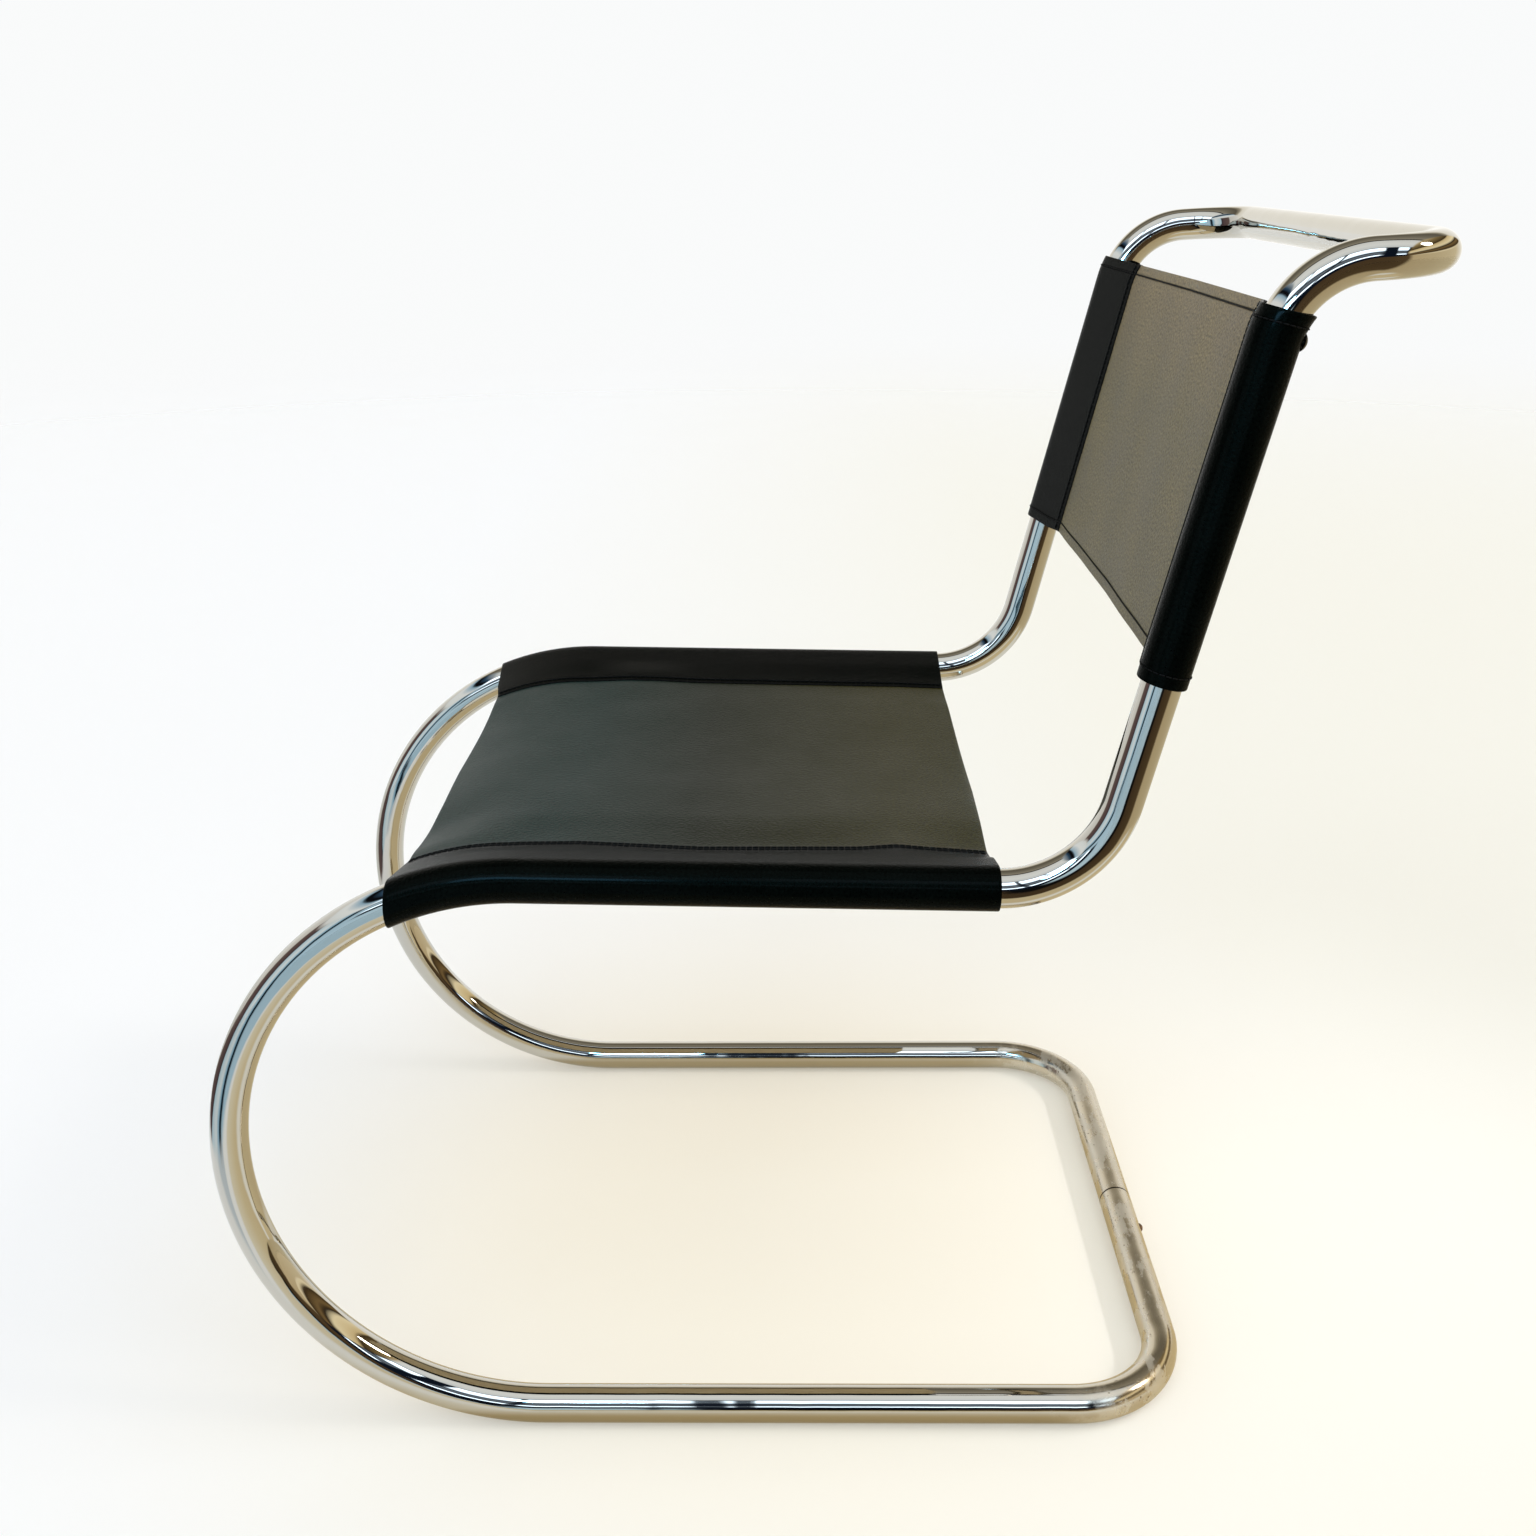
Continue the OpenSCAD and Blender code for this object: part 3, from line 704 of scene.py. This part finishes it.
SEAT = {"section": half_section(SEAT_SLACK, SEAT_CREASE_LIFT), "path": seat_path,
        "heading": SEAT_HEADING, "sag": seat_sag, "length": SEAT_LENGTH, "short": seat_short,
        "seam_drop": seat_seam_drop, "seam_shift": seat_seam_shift}
BACK = {"section": half_section(BACK_SLACK, BACK_CREASE_LIFT), "path": back_path,
        "heading": BACK_HEADING, "sag": back_sag, "length": BACK_LENGTH, "short": back_short,
        "seam_drop": no_wander, "seam_shift": no_wander}

# Inboard of the tube, a seam's wander starts, is full, and ends again
WANDER_START, WANDER_FULL, WANDER_EASES, WANDER_END = 22 * MM, 48 * MM, 66 * MM, 112 * MM


# Hide doesn't stretch, so on a bend its outer side falls short and its inner side reaches on.
def on_sling(sling, girth, run, drop=0.0):
    girth, run = np.broadcast_arrays(np.asarray(girth, float), np.asarray(run, float))
    girths, inboards, heights = sling["section"]
    inboard = np.interp(np.abs(girth), girths, inboards)
    height = np.interp(np.abs(girth), girths, heights)
    side = np.sign(girth)
    x = side * (SIDE_X - inboard)
    start, end = sling["short"](x)
    run = start + run * (1 - (start + end) / sling["length"])
    on_face = np.abs(girth) < girths[np.argmin(inboards)]
    height = height - np.where(on_face, sling["sag"](x, run), 0) - drop
    near_seam = (ease((inboard - WANDER_START) / (WANDER_FULL - WANDER_START))
                 * ease((WANDER_END - inboard) / (WANDER_END - WANDER_EASES)))
    height = height - near_seam * sling["seam_drop"](side, run)
    x = x + side * near_seam * sling["seam_shift"](side, run)
    y, z, heading = sling["path"](run, height)
    return np.stack([x, y - height * np.sin(heading), z + height * np.cos(heading)], axis=-1)


# Lays a flat grid of hide, (girth, run), onto its place and gives it its thickness
def lay_hide(name, place, girths, runs, thickness):
    deselect()
    bpy.ops.mesh.primitive_grid_add(x_subdivisions=len(girths) - 1, y_subdivisions=len(runs) - 1,
                                    size=1)
    hide = bpy.context.object
    hide.name = name
    mesh = hide.data
    across = np.array([vertex.co.x for vertex in mesh.vertices]) + 0.5
    along = np.array([vertex.co.y for vertex in mesh.vertices]) + 0.5
    girth = np.interp(across, np.linspace(0, 1, len(girths)), girths)
    run = np.interp(along, np.linspace(0, 1, len(runs)), runs)
    flat = mesh.uv_layers.new(name="flat")
    corners = np.array([loop.vertex_index for loop in mesh.loops])
    flat.data.foreach_set("uv", np.stack([girth[corners], run[corners]], axis=-1).ravel())
    mesh.vertices.foreach_set("co", place(girth, run).ravel())
    mesh.update()
    for layer in [other for other in mesh.uv_layers if other.name != "flat"]:
        mesh.uv_layers.remove(layer)
    apply_modifier(hide, "SOLIDIFY", thickness=thickness, offset=0.0)
    apply_modifier(hide, "BEVEL", width=CUT_EDGE_ROUND, segments=3, limit_method="ANGLE",
                   angle_limit=radians(50))
    only(hide)
    bpy.ops.object.shade_smooth_by_angle(angle=radians(60))
    return hide


# Dresses a sling in its looks: the panel's, the sleeves' outside the seams' inner row, and on the
# underside, between the creases, the flesh side
def dress_sling(hide, toward, border, looks):
    wear(hide, looks[0])
    mesh = hide.data
    for look in looks[1:]:
        mesh.materials.append(look)
    count = len(mesh.polygons)
    normals = np.empty(count * 3)
    mesh.polygons.foreach_get("normal", normals)
    first = np.empty(count, dtype=int)
    mesh.polygons.foreach_get("loop_start", first)
    flat = np.empty(len(mesh.loops) * 2)
    mesh.uv_layers["flat"].data.foreach_get("uv", flat)
    flat = flat[::2]
    girth = np.abs(flat[first] + flat[first + 1] + flat[first + 2]) / 3
    under = normals.reshape(-1, 3) @ np.array(toward) < -0.3
    kind = np.where(girth > border, 1, np.where(under & (girth < PANEL_EDGE), 2, 0))
    mesh.polygons.foreach_set("material_index", kind.astype(int))
    mesh.update()


# Thread: one stitch of length 1 and thickness 1, copied and scaled along each row
def make_stitch():
    deselect()
    bpy.ops.mesh.primitive_cylinder_add(vertices=8, radius=0.5, depth=1, rotation=(0, pi / 2, 0))
    stitch = bpy.context.object
    settle(stitch)
    apply_modifier(stitch, "BEVEL", width=0.2, segments=2, limit_method="ANGLE",
                   angle_limit=radians(60))
    return stitch


def point_at(points, run, at):
    return np.array([np.interp(at, run, points[:, axis]) for axis in range(3)])


def sew(name, stitch, rows, material):
    copies = []
    for points, normals in rows:
        steps = np.linalg.norm(np.diff(points, axis=0), axis=1)
        run = np.concatenate([[0], np.cumsum(steps)])
        count = max(1, int(run[-1] / STITCH_PITCH))
        pitch = run[-1] / count
        for i in range(count):
            start, end = [point_at(points, run, (i + share) * pitch) for share in STITCH_ENDS]
            up = Vector(point_at(normals, run, (i + 0.5) * pitch)).normalized()
            copy = bpy.data.objects.new(name, stitch.data.copy())
            bpy.context.scene.collection.objects.link(copy)
            along = Vector(end - start)
            side = up.cross(along.normalized()).normalized()
            up = along.normalized().cross(side)
            turn = Matrix((along.normalized(), side, up)).transposed().to_4x4()
            copy.matrix_world = (Matrix.Translation(Vector((start + end) / 2)) @ turn
                                 @ Matrix.Diagonal((along.length, THREAD_D, THREAD_D, 1)))
            copies.append(copy)
    deselect()
    for copy in copies:
        copy.select_set(True)
    bpy.context.view_layer.objects.active = copies[0]
    bpy.context.view_layer.update()
    bpy.ops.object.join()
    thread = bpy.context.object
    thread.name = name
    settle(thread)
    bpy.ops.object.shade_smooth()
    wear(thread, material)
    return thread


def half_girth(sling):
    return sling["section"][0][-1]


# A row of thread on a sling: on the face that the rising girth and run turn to, or, with
# facing -1, on the other one
def row_on(sling, girths, runs, facing, lift_by):
    girths, runs = np.broadcast_arrays(np.asarray(girths, float), np.asarray(runs, float))
    step = 0.5 * MM
    here = on_sling(sling, girths, runs)
    over = on_sling(sling, girths + step, runs) - here
    up = on_sling(sling, girths, runs + step) - here
    normal = np.cross(over, up)
    normal = facing * normal / np.linalg.norm(normal, axis=1)[:, None]
    return here + normal * lift_by, normal


# The girth at a distance inboard of the tube, on the face or, under the seam, on the turned edge
def girth_at(section, inboard, under):
    girths, inboards, _ = section
    turn = int(np.argmin(inboards))
    if under:
        return float(np.interp(inboard, inboards[turn:], girths[turn:]))
    return float(np.interp(-inboard, -inboards[:turn], girths[:turn]))


def seam_thread_rows(sling, steps):
    runs = np.linspace(THREAD_INSET, sling["length"] - THREAD_INSET, steps)
    return [row_on(sling, side * girth_at(sling["section"], inboard, under), runs, 1,
                   HIDE_T / 2 + THREAD_LIFT)
            for side in (-1, 1) for inboard in SEAM_ROWS for under in (False, True)]


def hem_thread_rows():
    half = half_girth(BACK)
    around = np.linspace(-half + 2 * MM, half - 2 * MM, 300)
    behind = np.linspace(-PANEL_EDGE + 3 * MM, PANEL_EDGE - 3 * MM, 150)
    rows = []
    for run in (HEM_ROW, BACK_LENGTH - HEM_ROW):
        rows.append(row_on(BACK, around, run, 1, HIDE_T / 2 + THREAD_LIFT))
        rows.append(row_on(BACK, behind, run, -1, 3 * HIDE_T / 2 + HEM_GAP))
    return rows


# Cuts a sling from the hide, with a line of the grid on each border between panel and sleeve
def cut_sling(name, sling, steps, tones, sheen_fades, hem_rows, flesh_look):
    half = half_girth(sling)
    seam_rows = [girth_at(sling["section"], row, False) for row in SEAM_ROWS[::-1]]
    border = seam_rows[0] - SLEEVE_PAST_ROW
    girths = np.unique(np.append(np.linspace(-half, half, 236), [-border, border]))
    panel_look = black_hide(name + "_panel_hide", PANEL_FINISH, tones, sheen_fades, sling["length"],
                            seam_rows, hem_rows)
    sleeve_look = black_hide(name + "_sleeve_hide", SLEEVE_FINISH, SLEEVE_TONES, SLEEVE_FADES,
                             sling["length"], seam_rows, hem_rows)
    hide = lay_hide(name, partial(on_sling, sling), girths,
                    np.linspace(0, sling["length"], steps), HIDE_T)
    dress_sling(hide, lift(sling["heading"]), border, [panel_look, sleeve_look, flesh_look])
    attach(hide, "sprung_chair")
    return hide


def make_seat(stitch, thread_look, flesh_look):
    seat = cut_sling("seat_sling", SEAT, 112, SEAT_PANEL_TONES, SEAT_PANEL_SHEEN_FADES, [], flesh_look)
    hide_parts("seat_panel", "seat_sleeve_left", "seat_sleeve_right")
    seat_thread = sew("seat_thread", stitch, seam_thread_rows(SEAT, 200), thread_look)
    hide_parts("seat_stitching")
    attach(seat_thread, "sprung_chair")


# The turned edges of the back's panel, behind it, in the look of its sleeves
def back_hem(name, edge, way, look):
    def hem_place(girth, run):
        return on_sling(BACK, girth, edge + way * run, HIDE_T + HEM_GAP)

    hem = lay_hide(name, hem_place, np.linspace(-PANEL_EDGE + MM, PANEL_EDGE - MM, 130),
                   np.linspace(0, HEM_W, 7), HIDE_T - HEM_GAP)
    wear(hem, look)
    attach(hem, "sprung_chair")
    return hem


def make_back(stitch, thread_look, flesh_look):
    back = cut_sling("back_sling", BACK, 84, BACK_PANEL_SHEEN_TONES, BACK_PANEL_SHEEN_FADES,
                     [HEM_ROW, BACK_LENGTH - HEM_ROW], flesh_look)
    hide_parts("back_panel", "back_sleeve_left", "back_sleeve_right")
    sleeve_look = back.data.materials[1]
    hems = [back_hem("back_hem_lower", 0, 1, sleeve_look),
            back_hem("back_hem_upper", BACK_LENGTH, -1, sleeve_look)]
    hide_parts("back_hem_bottom")
    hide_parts("back_hem_top")
    rows = seam_thread_rows(BACK, 140) + hem_thread_rows()
    back_thread = sew("back_thread", stitch, rows, thread_look)
    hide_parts("back_stitching")
    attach(back_thread, "sprung_chair")


def make_slings():
    stitch = make_stitch()
    looks = (waxed_thread(), undyed_flesh())
    make_seat(stitch, *looks)
    make_back(stitch, *looks)
    bpy.data.objects.remove(stitch)


def dress_small_parts():
    looks = {"back_stud_left": blackened_steel(), "spigot_screw": rusty_zinc(),
             "floor_spigot": turned_steel()}
    looks["back_stud_right"] = looks["back_stud_left"]
    for name, look in looks.items():
        for material_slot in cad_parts[name].material_slots:
            material_slot.material = look


# Floor, room and light. The chrome mirrors the foot of the room by its direction from the chair,
# in degrees from the chair's left round by its rear: window light between dark doors, and tan
# wood to the rear.
FOOT_OF_ROOM = (
    (-180, "fbfbfa"), (-155, "f4f4f2"), (-108, "dcdad6"), (-104, "6b5a55"), (-82, "57464a"),
    (-79, "1a1416"), (-76, "c2dcec"), (-60, "e6f1f8"), (-52, "8fbcd8"), (-50, "12202c"),
    (-46, "12202c"), (-43, "b4d4ea"), (-5, "c2dcec"), (-2, "101010"), (6, "101010"),
    (10, "4a3a28"), (42, "5a4830"), (48, "c9b48c"), (120, "d8c8a4"), (150, "fbf9f4"))


def foot_of_room(tree, east, north):
    turn = add_node(tree, "ShaderNodeMath", {0: north, 1: east}, operation="ARCTAN2")
    share = add_node(tree, "ShaderNodeMapRange", {"Value": turn.outputs[0]},
                     {"From Min": -pi, "From Max": pi})
    return add_node(tree, "ShaderNodeValToRGB", {0: share.outputs[0]},
                    stops=[((at + 180) / 360, colour(tone)) for at, tone in FOOT_OF_ROOM])


# Pale paper-white paint, matt. The camera sees it plain, apart from a warm tone under the chair.
# The chrome mirrors more: daylight on the window side, which fans out from the foot of the left
# bow, tan boards between the floor tubes, and further out the foot of the room.
BOW_FOOT = (242 * MM, -371 * MM, 0)
DAYLIGHT_FAN = ((0.0, "d3dbe2"), (0.35, "d0d9e1"), (0.385, "fefefe"), (0.475, "fefefe"),
                (0.53, "eee3ca"), (0.75, "e2d0a8"), (1.0, "d8c49a"))
DAYLIGHT_EDGES = (("X", 335 * MM, 430 * MM), ("X", 1500 * MM, 800 * MM))
BOARDS_EDGES = (("X", -170 * MM, -100 * MM), ("X", 300 * MM, 220 * MM),
                ("Y", -380 * MM, -280 * MM))
FLOOR_GLOW_SHARE = 0.35


def painted_floor():
    material = bpy.data.materials.new("painted_floor")
    material.use_nodes = True
    tree = material.node_tree
    tree.nodes.clear()
    place = add_node(tree, "ShaderNodeTexCoord").outputs["Object"]
    axes = add_node(tree, "ShaderNodeSeparateXYZ", {0: place})
    ray = add_node(tree, "ShaderNodeLightPath")
    mirrored = ray.outputs["Is Glossy Ray"]
    # Warm under the chair, where the tan underside lights it, and cooler to the front
    reach = add_node(tree, "ShaderNodeVectorMath", {0: place}, operation="LENGTH").outputs["Value"]
    rearward = add_node(tree, "ShaderNodeMapRange", {"Value": axes.outputs["Y"]},
                        {"From Min": -0.7, "From Max": 0.5})
    paper = add_node(tree, "ShaderNodeValToRGB", {0: rearward.outputs[0]},
                     stops=[(0.0, colour("fafafb")), (1.0, colour("f7f4ea"))])
    under = add_node(tree, "ShaderNodeMapRange", {"Value": reach},
                     {"From Min": 0.62, "From Max": 0.1}, interpolation_type="SMOOTHSTEP")
    tint = add_node(tree, "ShaderNodeMix", {FACTOR: under.outputs[0], UNDER: paper.outputs[0]},
                    {OVER: colour("fcf5e4")}, data_type="RGBA")
    # Daylight, which only reflections show
    from_bow = add_node(tree, "ShaderNodeVectorMath", {0: place}, {1: BOW_FOOT},
                        operation="SUBTRACT")
    fan_axes = add_node(tree, "ShaderNodeSeparateXYZ", {0: from_bow.outputs[0]})
    fan_turn = add_node(tree, "ShaderNodeMath", {0: fan_axes.outputs["Y"],
                                                 1: fan_axes.outputs["X"]},
                        operation="ARCTAN2")
    fan = add_node(tree, "ShaderNodeMapRange", {"Value": fan_turn.outputs[0]},
                   {"From Min": -pi / 2, "From Max": pi / 2})
    daylight = add_node(tree, "ShaderNodeValToRGB", {0: fan.outputs[0]},
                        stops=[(at, colour(tone)) for at, tone in DAYLIGHT_FAN])
    lit_side = between(tree, mirrored, "SMOOTHSTEP", [
        (axes.outputs[axis], start, full) for axis, start, full in DAYLIGHT_EDGES])
    tint = add_node(tree, "ShaderNodeMix", {FACTOR: lit_side, UNDER: tint.outputs[MIXED],
                                            OVER: daylight.outputs[0]}, data_type="RGBA")
    # Boards, likewise
    boards = between(tree, mirrored, "LINEAR", [
        (axes.outputs[axis], start, full) for axis, start, full in BOARDS_EDGES])
    tint = add_node(tree, "ShaderNodeMix", {FACTOR: boards, UNDER: tint.outputs[MIXED]},
                    {OVER: colour("dcc9a0")}, data_type="RGBA")
    # The foot of the room, likewise
    outer = between(tree, mirrored, "SMOOTHSTEP", [(reach, 750 * MM, 850 * MM)])
    foot = foot_of_room(tree, axes.outputs["X"], axes.outputs["Y"])
    tint = add_node(tree, "ShaderNodeMix", {FACTOR: outer, UNDER: tint.outputs[MIXED],
                                            OVER: foot.outputs[0]}, data_type="RGBA")
    # To the eye and in the chrome a part of the paint glows, so that it comes out pale
    paint = add_node(tree, "ShaderNodeBsdfDiffuse", {"Color": tint.outputs[MIXED]})
    glow = add_node(tree, "ShaderNodeEmission", {"Color": tint.outputs[MIXED]}, {"Strength": 1.0})
    seen = ray.outputs["Is Camera Ray"]
    for other in ("Is Glossy Ray", "Is Transmission Ray"):
        seen = add_node(tree, "ShaderNodeMath", {0: seen, 1: ray.outputs[other]},
                        operation="MAXIMUM").outputs[0]
    share = add_node(tree, "ShaderNodeMath", {0: seen}, {1: FLOOR_GLOW_SHARE},
                     operation="MULTIPLY")
    lit = add_node(tree, "ShaderNodeMixShader", {0: share.outputs[0], 1: paint.outputs[0],
                                                 2: glow.outputs[0]})
    # The floor fades into the backdrop between 2 and 7 m out
    fade = add_node(tree, "ShaderNodeMapRange", {"Value": reach},
                    {"From Min": 2.0, "From Max": 7.0}, interpolation_type="SMOOTHSTEP")
    clear = add_node(tree, "ShaderNodeBsdfTransparent")
    both = add_node(tree, "ShaderNodeMixShader", {0: fade.outputs[0], 1: lit.outputs[0],
                                                  2: clear.outputs[0]})
    add_node(tree, "ShaderNodeOutputMaterial", {"Surface": both.outputs[0]})
    return material


def add_floor():
    deselect()
    bpy.ops.mesh.primitive_circle_add(vertices=96, radius=12, fill_type="NGON")
    floor = bpy.context.object
    floor.name = "studio_floor"
    floor.data.materials.append(painted_floor())


# A pale room. To the camera it is a plain pale backdrop. The chair is lit by the rest of it and
# mirrors it. The tones below go by the angle above the level, in degrees, over the window side
# and on to the far side: dark frames round blue-white windows, a pale ceiling, a dark beam, a
# brown-grey ceiling and a white wall. Across the windows, the panes go by shares of the way from
# front to rear. Both ends have walls of their own: warm to the rear, and cool to the front.
BACKDROP = "e8e9e9"
ROOM_STRENGTH = 1.18
DAYLIGHT = (2.3, 2.8, 3.4, 1)
CEILING = ((0, "101826"), (56, "101826"), (58, "dfe5ea"), (75, "f2f5f6"), (97, "e6e8e8"),
           (98, "080808"), (102, "080808"), (103, "9a9384"), (118, "807a6c"), (138, "625c50"),
           (146, "a39b88"), (152, "efeade"), (180, "fbfaf6"))
PANES_UP = ((0, 0), (17, 0), (18, 1), (21, 1), (22, 0.03), (33, 0.08), (34, 0), (37, 0),
            (38, 0.35), (44, 1), (54, 1), (55, 0))
PANES_ACROSS = ((0.0, 0), (0.16, 0), (0.17, 1), (0.32, 1), (0.325, 0.3), (0.34, 0.3),
                (0.345, 1), (0.475, 1), (0.48, 0.05), (0.495, 0.05), (0.50, 1), (0.64, 1),
                (0.65, 0), (0.72, 0), (0.73, 1), (0.80, 1), (0.81, 0))
WARM_WALL = ((0, "fbf3de"), (10, "f0dfb8"), (12, "3b2d1c"), (18, "7d6540"), (21, "2a2018"),
             (25, "fbeac0"), (33, "e0c896"), (35, "3d2f1b"), (44, "8d7850"), (50, "cdb88e"),
             (58, "e9e2d2"), (90, "dcd8cf"))
COOL_WALL = ((90, "c9d0d6"), (130, "b9c4cd"), (135, "35506a"), (137, "0e0f14"), (139, "0e0f14"),
             (140, "9fc0d8"), (145, "f4f8fb"), (149, "eef4f8"), (157, "d9d4cc"), (166, "dfe9f2"),
             (180, "f2eee6"))


def add_room():
    world = bpy.data.worlds.new("pale_room")
    bpy.context.scene.world = world
    world.use_nodes = True
    tree = world.node_tree
    tree.nodes.clear()
    way = add_node(tree, "ShaderNodeTexCoord").outputs["Generated"]
    axes = add_node(tree, "ShaderNodeSeparateXYZ", {0: way})
    height = axes.outputs["Z"]
    ray = add_node(tree, "ShaderNodeLightPath")

    def by_degrees(axis, tones, paint):
        turn = add_node(tree, "ShaderNodeMath", {0: height, 1: axes.outputs[axis]},
                        operation="ARCTAN2")
        share = add_node(tree, "ShaderNodeMapRange", {"Value": turn.outputs[0]},
                         {"From Min": 0.0, "From Max": pi})
        return add_node(tree, "ShaderNodeValToRGB", {0: share.outputs[0]},
                        stops=[(at / 180, paint(tone)) for at, tone in tones])

    side = add_node(tree, "ShaderNodeMapRange", {"Value": axes.outputs["Y"]},
                    {"From Min": -1.0, "From Max": 1.0})
    panes_across = add_node(tree, "ShaderNodeValToRGB", {0: side.outputs[0]},
                            stops=[(at, grey(level)) for at, level in PANES_ACROSS])
    panes_up = by_degrees("X", PANES_UP, grey)
    panes = add_node(tree, "ShaderNodeMath", {0: panes_up.outputs[0],
                                              1: panes_across.outputs[0]},
                     operation="MULTIPLY")
    room = add_node(tree, "ShaderNodeMix",
                    {FACTOR: panes.outputs[0], UNDER: by_degrees("X", CEILING, colour).outputs[0]},
                    {OVER: DAYLIGHT}, data_type="RGBA")
    for wall, start, end in ((WARM_WALL, 0.62, 0.66), (COOL_WALL, -0.62, -0.66)):
        at_end = add_node(tree, "ShaderNodeMapRange", {"Value": axes.outputs["Y"]},
                          {"From Min": start, "From Max": end})
        room = add_node(tree, "ShaderNodeMix",
                        {FACTOR: at_end.outputs[0], UNDER: room.outputs[MIXED],
                         OVER: by_degrees("Y", wall, colour).outputs[0]}, data_type="RGBA")
    # All round the horizon the chrome mirrors the foot of the room, which stands higher to the
    # front
    foot = foot_of_room(tree, axes.outputs["X"], axes.outputs["Y"])
    foot = add_node(tree, "ShaderNodeMix", {FACTOR: ray.outputs["Is Glossy Ray"],
                                            OVER: foot.outputs[0]},
                    {UNDER: colour(BACKDROP)}, data_type="RGBA")
    low = add_node(tree, "ShaderNodeMapRange", {"Value": height},
                   {"From Min": 0.15, "From Max": 0.12}, interpolation_type="SMOOTHSTEP")
    doors = between(tree, ray.outputs["Is Glossy Ray"], "LINEAR",
                    [(height, 0.48, 0.42), (axes.outputs["Y"], -0.55, -0.6)])
    low = add_node(tree, "ShaderNodeMath", {0: low.outputs[0], 1: doors}, operation="MAXIMUM")
    room = add_node(tree, "ShaderNodeMix", {FACTOR: low.outputs[0], UNDER: room.outputs[MIXED],
                                            OVER: foot.outputs[MIXED]}, data_type="RGBA")
    room = add_node(tree, "ShaderNodeMix", {FACTOR: ray.outputs["Is Camera Ray"],
                                            UNDER: room.outputs[MIXED]},
                    {OVER: colour(BACKDROP)}, data_type="RGBA")
    shine = add_node(tree, "ShaderNodeBackground", {"Color": room.outputs[MIXED]},
                     {"Strength": ROOM_STRENGTH})
    add_node(tree, "ShaderNodeOutputWorld", {"Surface": shine.outputs[0]})


# Four lights: a broad, even one from the ceiling, a faint one from behind the chair, a small one
# behind the rear bar, which lays the bar's shadow on the floor in front of it, and a long window
# high on the camera's side, which draws a cool line along the rolled sleeves and the tubes.
def add_light(name, kind, spot, aim, energy, tint, **shape):
    data = bpy.data.lights.new(name, kind)
    data.energy = energy
    data.color = colour(tint)[:3]
    for setting, value in shape.items():
        setattr(data, setting, value)
    lamp = bpy.data.objects.new(name, data)
    bpy.context.scene.collection.objects.link(lamp)
    lamp.visible_camera = False
    lamp.location = spot
    towards = Vector(aim) - Vector(spot)
    lamp.rotation_euler = towards.to_track_quat("-Z", "Y").to_euler()
    return lamp


def add_lamps():
    ceiling = add_light("ceiling_glow", "SUN", (0, 0, 2), (0, 0.01, 0), 0.72, "fffdf8",
                        angle=radians(120))
    ceiling.visible_glossy = False
    add_light("rear_sky", "SUN", (0.2, 2.0, 1.7), (0, 0, 0), 0.4, "fff4e4", angle=radians(12))
    low = add_light("low_rear_panel", "AREA", (0, 1.1, 0.79), (0, 0.2, 0), 0.62, "f4f4ff",
                    shape="RECTANGLE", size=0.45, size_y=0.05, spread=radians(66))
    low.visible_glossy = False
    window = add_light("high_window", "AREA", (1.366, -0.46, 1.236), (0.24, -0.2, 0.43), 11.0,
                       "84d2ff", shape="RECTANGLE", size=0.56, size_y=0.2)
    window.visible_diffuse = False


add_camera()
frame_tube(chrome_plate())
make_slings()
dress_small_parts()
add_floor()
add_room()
add_lamps()
bpy.context.scene.view_settings.view_transform = "Standard"
